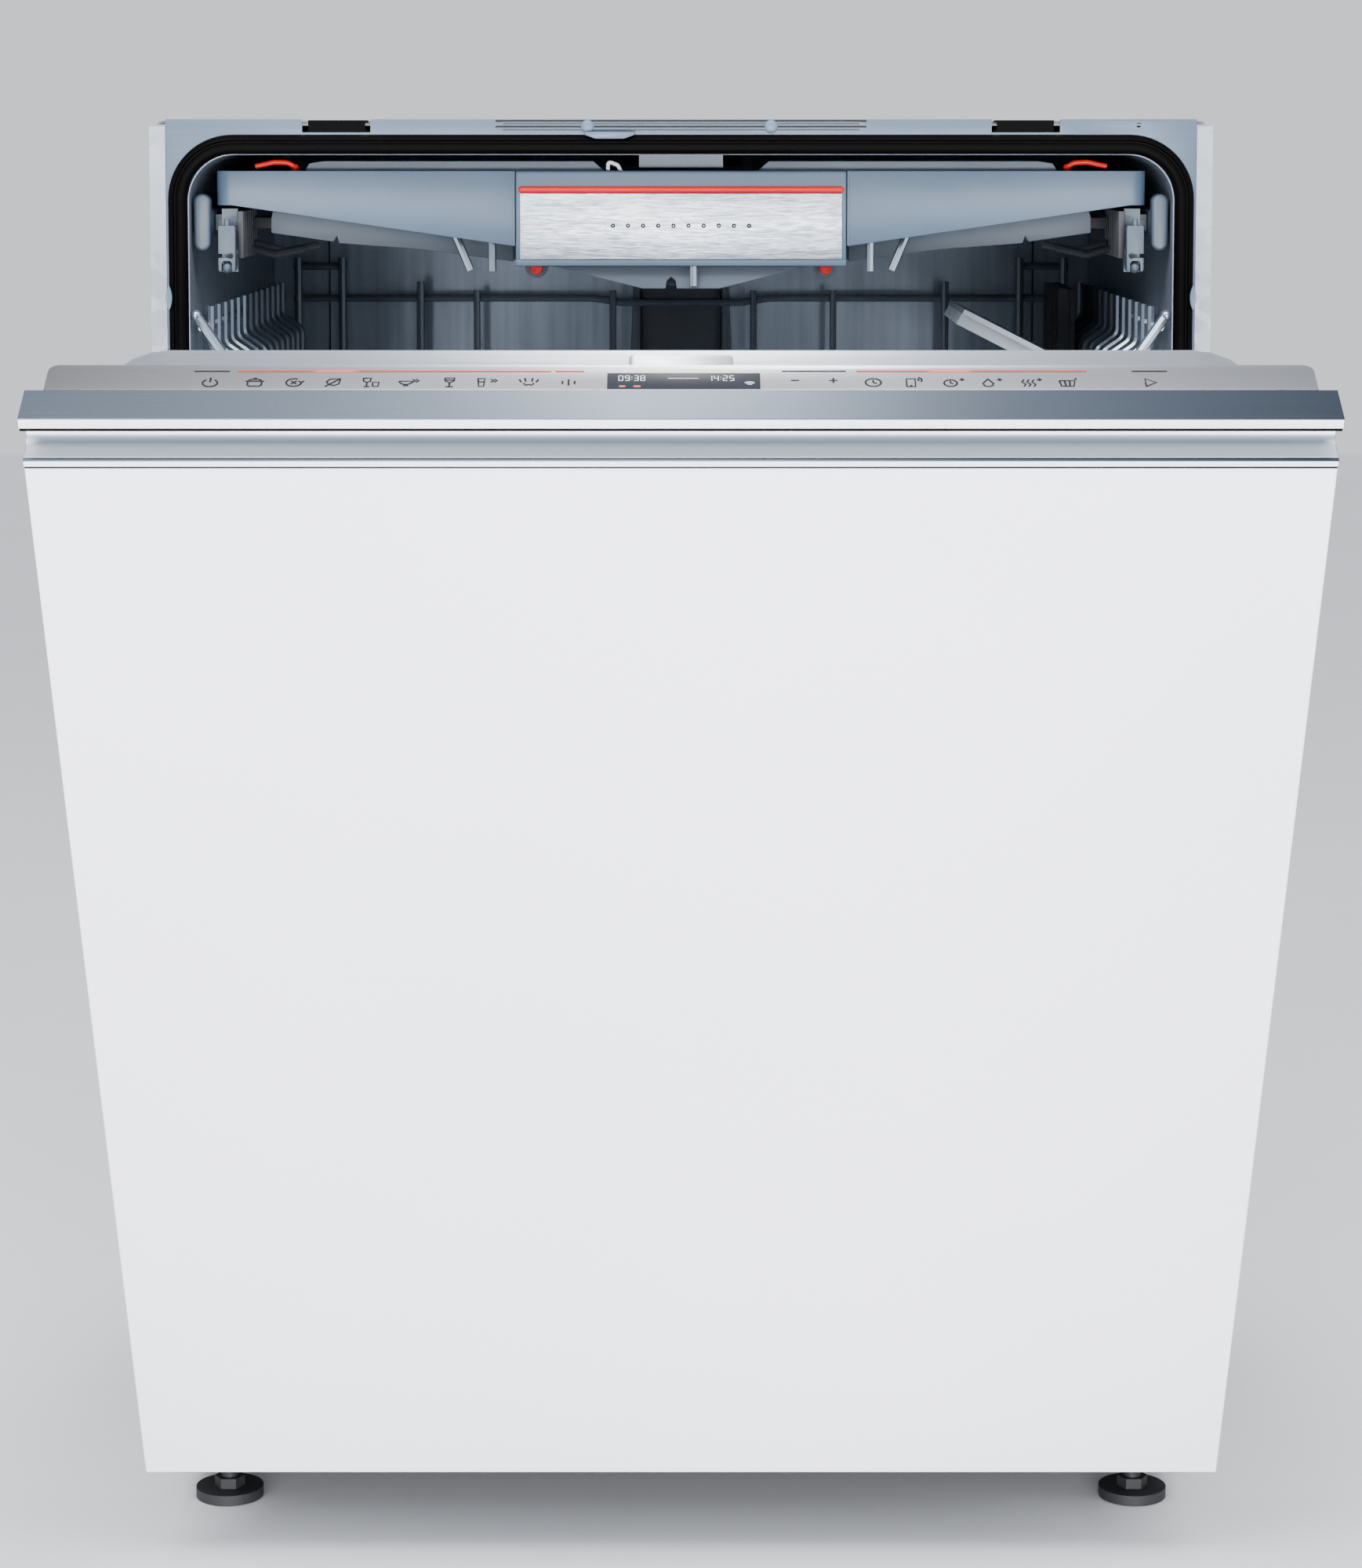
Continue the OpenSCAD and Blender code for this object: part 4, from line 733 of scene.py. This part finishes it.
print("cabinet face, rails and duct made")


# the cutlery drawer
drawer = {"front": -217, "top": 787.8, "inner": 94.7, "outer": 255, "low": 745, "rise": 23.2, "middle": 94,
          "middleLow": 733.8}


def wingBottom(x):
    return (drawer["low"] + (min(x, drawer["outer"]) - drawer["inner"])
            / (drawer["outer"] - drawer["inner"]) * drawer["rise"])


wingPath = [(94.7, -217), (150, -217), (200, -217), (240, -217)] + arc((255.5, -208), 9, -90, 0,
        8) + [(264.5, -150), (264.5, 0), (264.5, 180)]
wingInner = [(94.7, -214.6), (150, -214.6), (200, -214.6), (240, -214.6)] + arc((255.5, -208), 6.6, -90, 0,
        8) + [(262.1, -150), (262.1, 0), (262.1, 180)]
stations = [[(a[0], a[1], drawer["top"]), (a[0], a[1], wingBottom(a[0])), (b[0], b[1], wingBottom(a[0])),
             (b[0], b[1], drawer["top"])]
            for a, b in zip(wingPath, wingInner)]
wingPoints = [point for station in stations for point in station]
wingFaces = [(4 * k + i, 4 * k + (i + 1) % 4, 4 * k + 4 + (i + 1) % 4,
              4 * k + 4 + i) for k in range(len(stations) - 1) for i in range(4)]
last = 4 * (len(stations) - 1)
wing = soften(fixNormals(meshPiece("drawerWing", wingPoints,
                                   wingFaces + [(0, 1, 2, 3), (last, last + 1, last + 2, last + 3)])), 0.5, 2)
flange = block("wingFlange", (94.4, -217.4, 745.2), (95.7, -200, 787.8), 0.3)
finishPiece(mirrored(join("drawerWings", [wing, flange])), "cutlery_drawer", "drawerPlastic",
            ("drawer_wings",))

middle, middleLow = drawer["middle"], drawer["middleLow"]
housing = block("drawerMiddle", (-middle, -218, middleLow), (middle, -198, drawer["top"]), 1.3, 4)
lip = block("drawerLip", (-middle, -220, middleLow), (middle, drawer["front"], 737.4), 0.7)
finishPiece(join("drawerHousing", [housing, lip]), "cutlery_drawer", "drawerPlastic",
            ("drawer_housing",))
plate = block("gripPlate", (-91.5, -219.9, 737.6), (91.5, -217.8, 775.1), 0.35)
finishPiece(plate, "cutlery_drawer", "platedSteel", ("drawer_plate",))
marks = [[(x + 0.9 * math.cos(t * 0.7854), -219.95, 756.8 + 0.9 * math.sin(t * 0.7854)) for t in range(9)]
         for x in [(k - 4.5) * 8.6 for k in range(10)]]
finishPiece(wireSet("plateMarks", marks, 0.5, bend=0.3, sides=1), "cutlery_drawer", "shadowGap")
redBar = block("redBar", (-92.4, -220.4, 775.4), (92.4, -216.8, 779.1), 1.7, 5)
halfDiscs = [disc("redDisc", (x, -211, 732.6), 3.6, 8, "y", 0.6) for x in (-82.4, 82.4)]
finishPiece(join("redTrim", [redBar] + halfDiscs), "cutlery_drawer", "redPlastic",
            ("drawer_trim",), smooth=60)
bosses = [disc("discBoss", (x, -206, 733.4), 6.6, 6, "y", 0.8) for x in (-82.4, 82.4)]
keel = prism("drawerKeel", [(-73.5, 733.6), (-22, 720.7), (-8.6, 720.7), (-8.2, 725), (-5.6, 727.4), (-3, 725),
                            (-2.6, 720.7), (22, 720.7),
                            (73.5, 733.6)], "y", -213, -110, 0.8)
finishPiece(join("drawerUnder", bosses + [keel]), "cutlery_drawer", "trayPlastic")

band = [(97, 735), (150, 742), (197.6, 745.6), (199, 749.8), (201, 746.4), (237, 751.6), (237, 760),
        (236, 764), (97, 745)]
side = [(252.6, -216 + 10 * k) for k in range(8)]
insert = prism("drawerInsert", [(43, 787), (50, 793.2), (204, 793.2), (212, 792), (214, 789), (214, 770),
                                (43, 770)], "y", -206, -203, 0.5)
finishPiece(mirrored(insert), "cutlery_drawer", "trayPlastic")
under = prism("trayBand", band, "y", -180, 170, 0.6)
finishPiece(mirrored(under), "cutlery_drawer", "trayPlastic")
ribs = [block("trayRib", (248.6, y - 0.9, 738), (252.4, y + 0.9, 765), 0.5) for x, y in side]
ribs += [block("trayShelf", (226, y - 1, 753.4), (250, y + 1, 760), 0.4) for y in range(-160, 160, 20)]
arms = wireSet("trayArms", [[(252, -168, 743), (238, -152, 738), (222, -142, 741)],
                            [(250, -158, 745), (232, -144, 740), (214, -134, 743)]], 2.2, bend=8)
finishPiece(mirrored(join("trayCombs", ribs + [arms])), "cutlery_drawer", "darkPlastic")
bracket = prism("runnerBracket", roundOutline((252.2, 731), (262, 757), 1.2, 3), "y", -228, -222, 0.5)
fork = cut(bracket, block("bracketSlot", (253.6, -232, 738.8), (264, -218, 741.2)),
           disc("bracketEye", (255, -225, 740), 1.7, 12, "y"),
           prism("forkMouth", [(254.2, 729), (254.2, 735.6), (255.4, 737.2), (259, 737.2), (260.2, 735.6),
                               (260.2, 729)], "y", -232, -218))
arm = block("bracketArm", (253.4, -222.4, 753), (260.8, -200, 757), 0.6)
ballEnd = ball("bracketBall", (257.2, -224, 733.2), 3.2)
pin = disc("bracketPin", (257.2, -225, 758.4), 1.6, 5, "z", 0.3)
finishPiece(mirrored(join("runnerBrackets", [fork, arm, ballEnd, pin])), "cutlery_drawer", "railPlastic")
ends = [[(7, -216.4, 737), (7, -216.4, 722.5)]]
stays = [[(108, -206, 752), (108, -206, 730.5)], [(131, -204, 756), (120.5, -204, 731)]]
stays += [[(-x, y, z) for x, y, z in path] for path in stays]
finishPiece(wireSet("drawerRods", ends + stays, 2.4, bend=2), "cutlery_drawer", "wireCoat")
lever = wireSet("drawerLever",
                [[(-41.6, -210, 788), (-41.6, -210, 793.2), (-36, -210, 791), (-34, -210, 787)]], 1.1, bend=2)
finishPiece(lever, "cutlery_drawer", "whitePlastic")
print("drawer made")


# the upper basket
def mirrorPaths(paths):
    return paths + [[(-x, y, z) for x, y, z in path] for path in paths]


upper = {"half": 268, "low": 570, "floor": 565.4, "front": -226, "rear": 193, "step": 13}
crossY = [upper["front"] + 12 + k * (upper["rear"] - upper["front"] - 30) / 12 for k in range(13)]
half, inner = upper["half"], upper["half"] - upper["step"]
# painted shade: the back cross rows, long wires, back rods and uprights of the upper basket get the darker copy of the
# wire finish
for name, look, rows in (("upperCrossFront", "wireCoat", crossY[:6]),
                         ("upperCrossBack", "shadedWireAndRimHighlight", crossY[6:])):
    crossed = [[(side * half, y, 711 - 0.008 * (y + 226)), (side * half, y, 686), (side * inner, y, 677),
                (side * inner, y, 578),
                (side * (inner - 10), y, upper["low"]), (0, y, upper["low"])] for y in rows for side in (-1, 1)]
    finishPiece(wireSet(name, crossed, 2.25, bend=7), "upper_rack", look, ("upper_basket",))
longX = [share * half for share in (-0.855, -0.659, -0.515, -0.172, 0.183, 0.384, 0.666, 0.855)]
longed = [[(x, upper["front"], 653), (x, upper["front"], upper["floor"]), (x, upper["rear"], upper["floor"]),
           (x, upper["rear"], 702)] for x in longX]
finishPiece(wireSet("upperLong", longed, 2.25, bend=7), "upper_rack", "shadedWireAndRimHighlight")
rims = mirrorPaths([[(272, -222, 699.5), (272, 189, 699.5)], [(274, -235, 706.7), (258.7, -235, 684.6),
                                                              (238, -232, 654)]])
finishPiece(wireSet("upperRims", rims, 2.9, bend=6), "upper_rack", "wireCoat")
knobs = [ball("rimKnob", (side * 274, -235, 706.7), 3.4) for side in (-1, 1)]
finishPiece(join("rimKnobs", knobs), "upper_rack", "wireCoat")
acrossFront = [[(-238, -232, 654), (238, -232, 654)], [(-240, -229, 612), (240, -229, 612)]]
backs = [[(-262, 197, 696.5), (-60, 197, 696.5), (-40, 197, 693.5), (40, 197, 693.5), (60, 197, 696.5),
          (262, 197, 696.5)]]
backs += [[(side * 262, 197, 718), (side * 226, 197, 718)] for side in (-1, 1)]
finishPiece(wireSet("upperFrontRods", acrossFront, 2.4, bend=6), "upper_rack", "wireCoat")
finishPiece(wireSet("upperBackRods", backs, 2.4, bend=6), "upper_rack", "shadedWireAndRimHighlight")
ups = [[(x, 193, 566), (x, 193, 708)] for x in (-176, 178.5)] + mirrorPaths([[(258.7, 193, 580),
                                                                (258.7, 193, 724)], [(229, 193, 566), (229, 193, 724)]])
finishPiece(wireSet("upperUprights", ups, 2.6, bend=2), "upper_rack", "shadedWireAndRimHighlight")
holders = [block("runnerHolder", (257.8, y - 18, 598), (266.4, y + 18, 636), 2.2) for y in (-132.5, 97.5)]
runner = [block("runnerBar", (266.6, -222, 608), (271.2, 179, 620), 1.6)] + holders
finishPiece(mirrored(join("upperRunners", runner)), "upper_rack", "paleGreyPlastic",
            ("upper_runners",))

# lower basket
lower = {"half": 261.4, "step": 10, "low": 205, "floor": 200.4, "top": 357, "front": -198, "rear": 193}
lowY = [lower["front"] + 14 + k * (lower["rear"] - lower["front"] - 28) / 9 for k in range(10)]
outer, inner = lower["half"], lower["half"] - lower["step"]
crossed = [[(side * outer, y, lower["top"]), (side * outer, y, 315), (side * inner, y, 307),
            (side * inner, y, 213), (side * (inner - lower["step"]), y, lower["low"]), (0, y, lower["low"])]
           for y in lowY for side in (-1, 1)]
finishPiece(wireSet("lowerCross", crossed, 2.25, bend=7), "lower_rack", "wireCoat",
            ("lower_basket",))
shares = (0.09, 0.26, 0.46, 0.66, 0.86)
longed = mirrorPaths([[(s * outer, lower["front"], 315), (s * outer, lower["front"], lower["floor"]),
                       (s * outer, lower["rear"], lower["floor"]), (s * outer, lower["rear"],
                               355)] for s in shares])
lowRims = mirrorPaths([[(265.7, -194, 347), (265.7, 189, 347)], [(266, -202, 354), (234, -202, 316)]])
lowRims += [[(-234, -202, 315), (234, -202, 315)], [(-262, 197, 343), (262, 197, 343)],
            [(-236, -201, 268), (236, -201, 268)]]
finishPiece(wireSet("lowerLong", longed + lowRims, 2.3, bend=7), "lower_rack", "wireCoat")
print("baskets made")

# CAD nodes that show as they are, and the looks they get
nodeLooks = {
    "tubSteel": "tub",
    "gasketRubber": "lower_seal",
    "basePlastic": "base_tray feet power_inlet",
    "galvanised": "side_panels rear_panel top_cover hinge_brackets hinge_arms door_shell plinth_plate",
    "feltMat": "insulation",
    "zincMetal": "balance_springs flow_heater front_screws",
    "paleGreyPlastic": "sump salt_container salt_cap water_guide "
                       "lower_wheels_front lower_wheels_rear dispenser cup_shelf_front",
    "sieve": "filter_plate",
    "darkPlastic": "filter_cup drain_connector cup_shelf_rear",
    "pumpPlastic": "circulation_pump drain_pump",
    "railPlastic": "ceiling_duct drawer_runners",
    "whitePlastic": "inlet_valve dispenser_lid",
    "boardGreen": "control_board",
    "bluePlastic": "rinse_cap",
    "drawerPlastic": "upper_spray_arm lower_spray_arm upper_feed",
    "trayPlastic": "drawer_tray drawer_combs",
    "wireCoat": "lower_tines",
    "blackPaint": "worktop_brackets",
}
for look, names in nodeLooks.items():
    for name in names.split():
        if name in nodes:
            nodes[name].data.materials.clear()
            nodes[name].data.materials.append(looks[look])
print("CAD nodes dressed")

# camera, floor and soft lights
view = {"at": (0, -2.395, 0.816), "down": 5.22, "lens": 87.8, "shift": -0.2}
bpy.ops.object.camera_add(location=view["at"], rotation=(math.radians(90 - view["down"]), 0, 0))
camera = bpy.context.active_object
camera.data.lens, camera.data.shift_y = view["lens"], view["shift"]
bpy.context.scene.camera = camera

floorLook = Finish("floorPaint", roughness=0.55)
floorTone = floorLook.spread(floorLook.noise(1.2, (1, 1, 1), 3.0, 0.5), 0.3, 0.7)
floorLook.feed(Base_Color=floorLook.mix(floorTone, rgb("e9ebee"), rgb("f1f2f4")))
clearSelection()
bpy.ops.mesh.primitive_plane_add(size=14, location=(0, 0, -0.0005))
floor = bpy.context.active_object
floor.name = "floor"
floor.data.materials.append(floorLook.material)

lamps = {
    "keyLamp": {"at": (-1.1, -2.4, 2.2), "to": (0, -0.3, 0.6), "size": (1.2, 1.2), "power": 34,
                "tint": (1.0, 0.99, 0.98)},
    "sideLamp": {"at": (2.2, -1.8, 1.3), "to": (0, -0.3, 0.6), "size": (1.0, 1.6), "power": 12,
                 "tint": (0.93, 0.96, 1.0)},
    "lowLamp": {"at": (0, -3.2, 0.3), "to": (0, -0.5, 0.4), "size": (2.6, 0.5), "power": 165,
                "tint": (0.98, 0.98, 1.0)},
    "floorLamp": {"at": (0, -1.9, 2.4), "to": (0, -1.5, 0), "size": (2.6, 1.0), "power": 90,
                  "tint": (1.0, 1.0, 1.0)},
    "backLamp": {"at": (0, 0.8, 2.2), "to": (0, -0.5, 0.75), "size": (0.3, 0.9), "power": 14,
                 "tint": (1.0, 1.0, 1.0)},
}
for name, lamp in lamps.items():
    bpy.ops.object.light_add(type="AREA", location=lamp["at"])
    light = bpy.context.active_object
    light.name = name
    light.data.shape, light.data.energy, light.data.color = "RECTANGLE", lamp["power"], lamp["tint"]
    light.data.size, light.data.size_y = lamp["size"]
    light.rotation_euler = (Vector(lamp["to"]) - Vector(lamp["at"])).to_track_quat("-Z", "Y").to_euler()
world = bpy.data.worlds.new("paleRoom")
bpy.context.scene.world = world
world.use_nodes = True
world.node_tree.nodes["Background"].inputs["Color"].default_value = (0.84, 0.87, 0.92, 1)
world.node_tree.nodes["Background"].inputs["Strength"].default_value = 1.1

print("scene done")
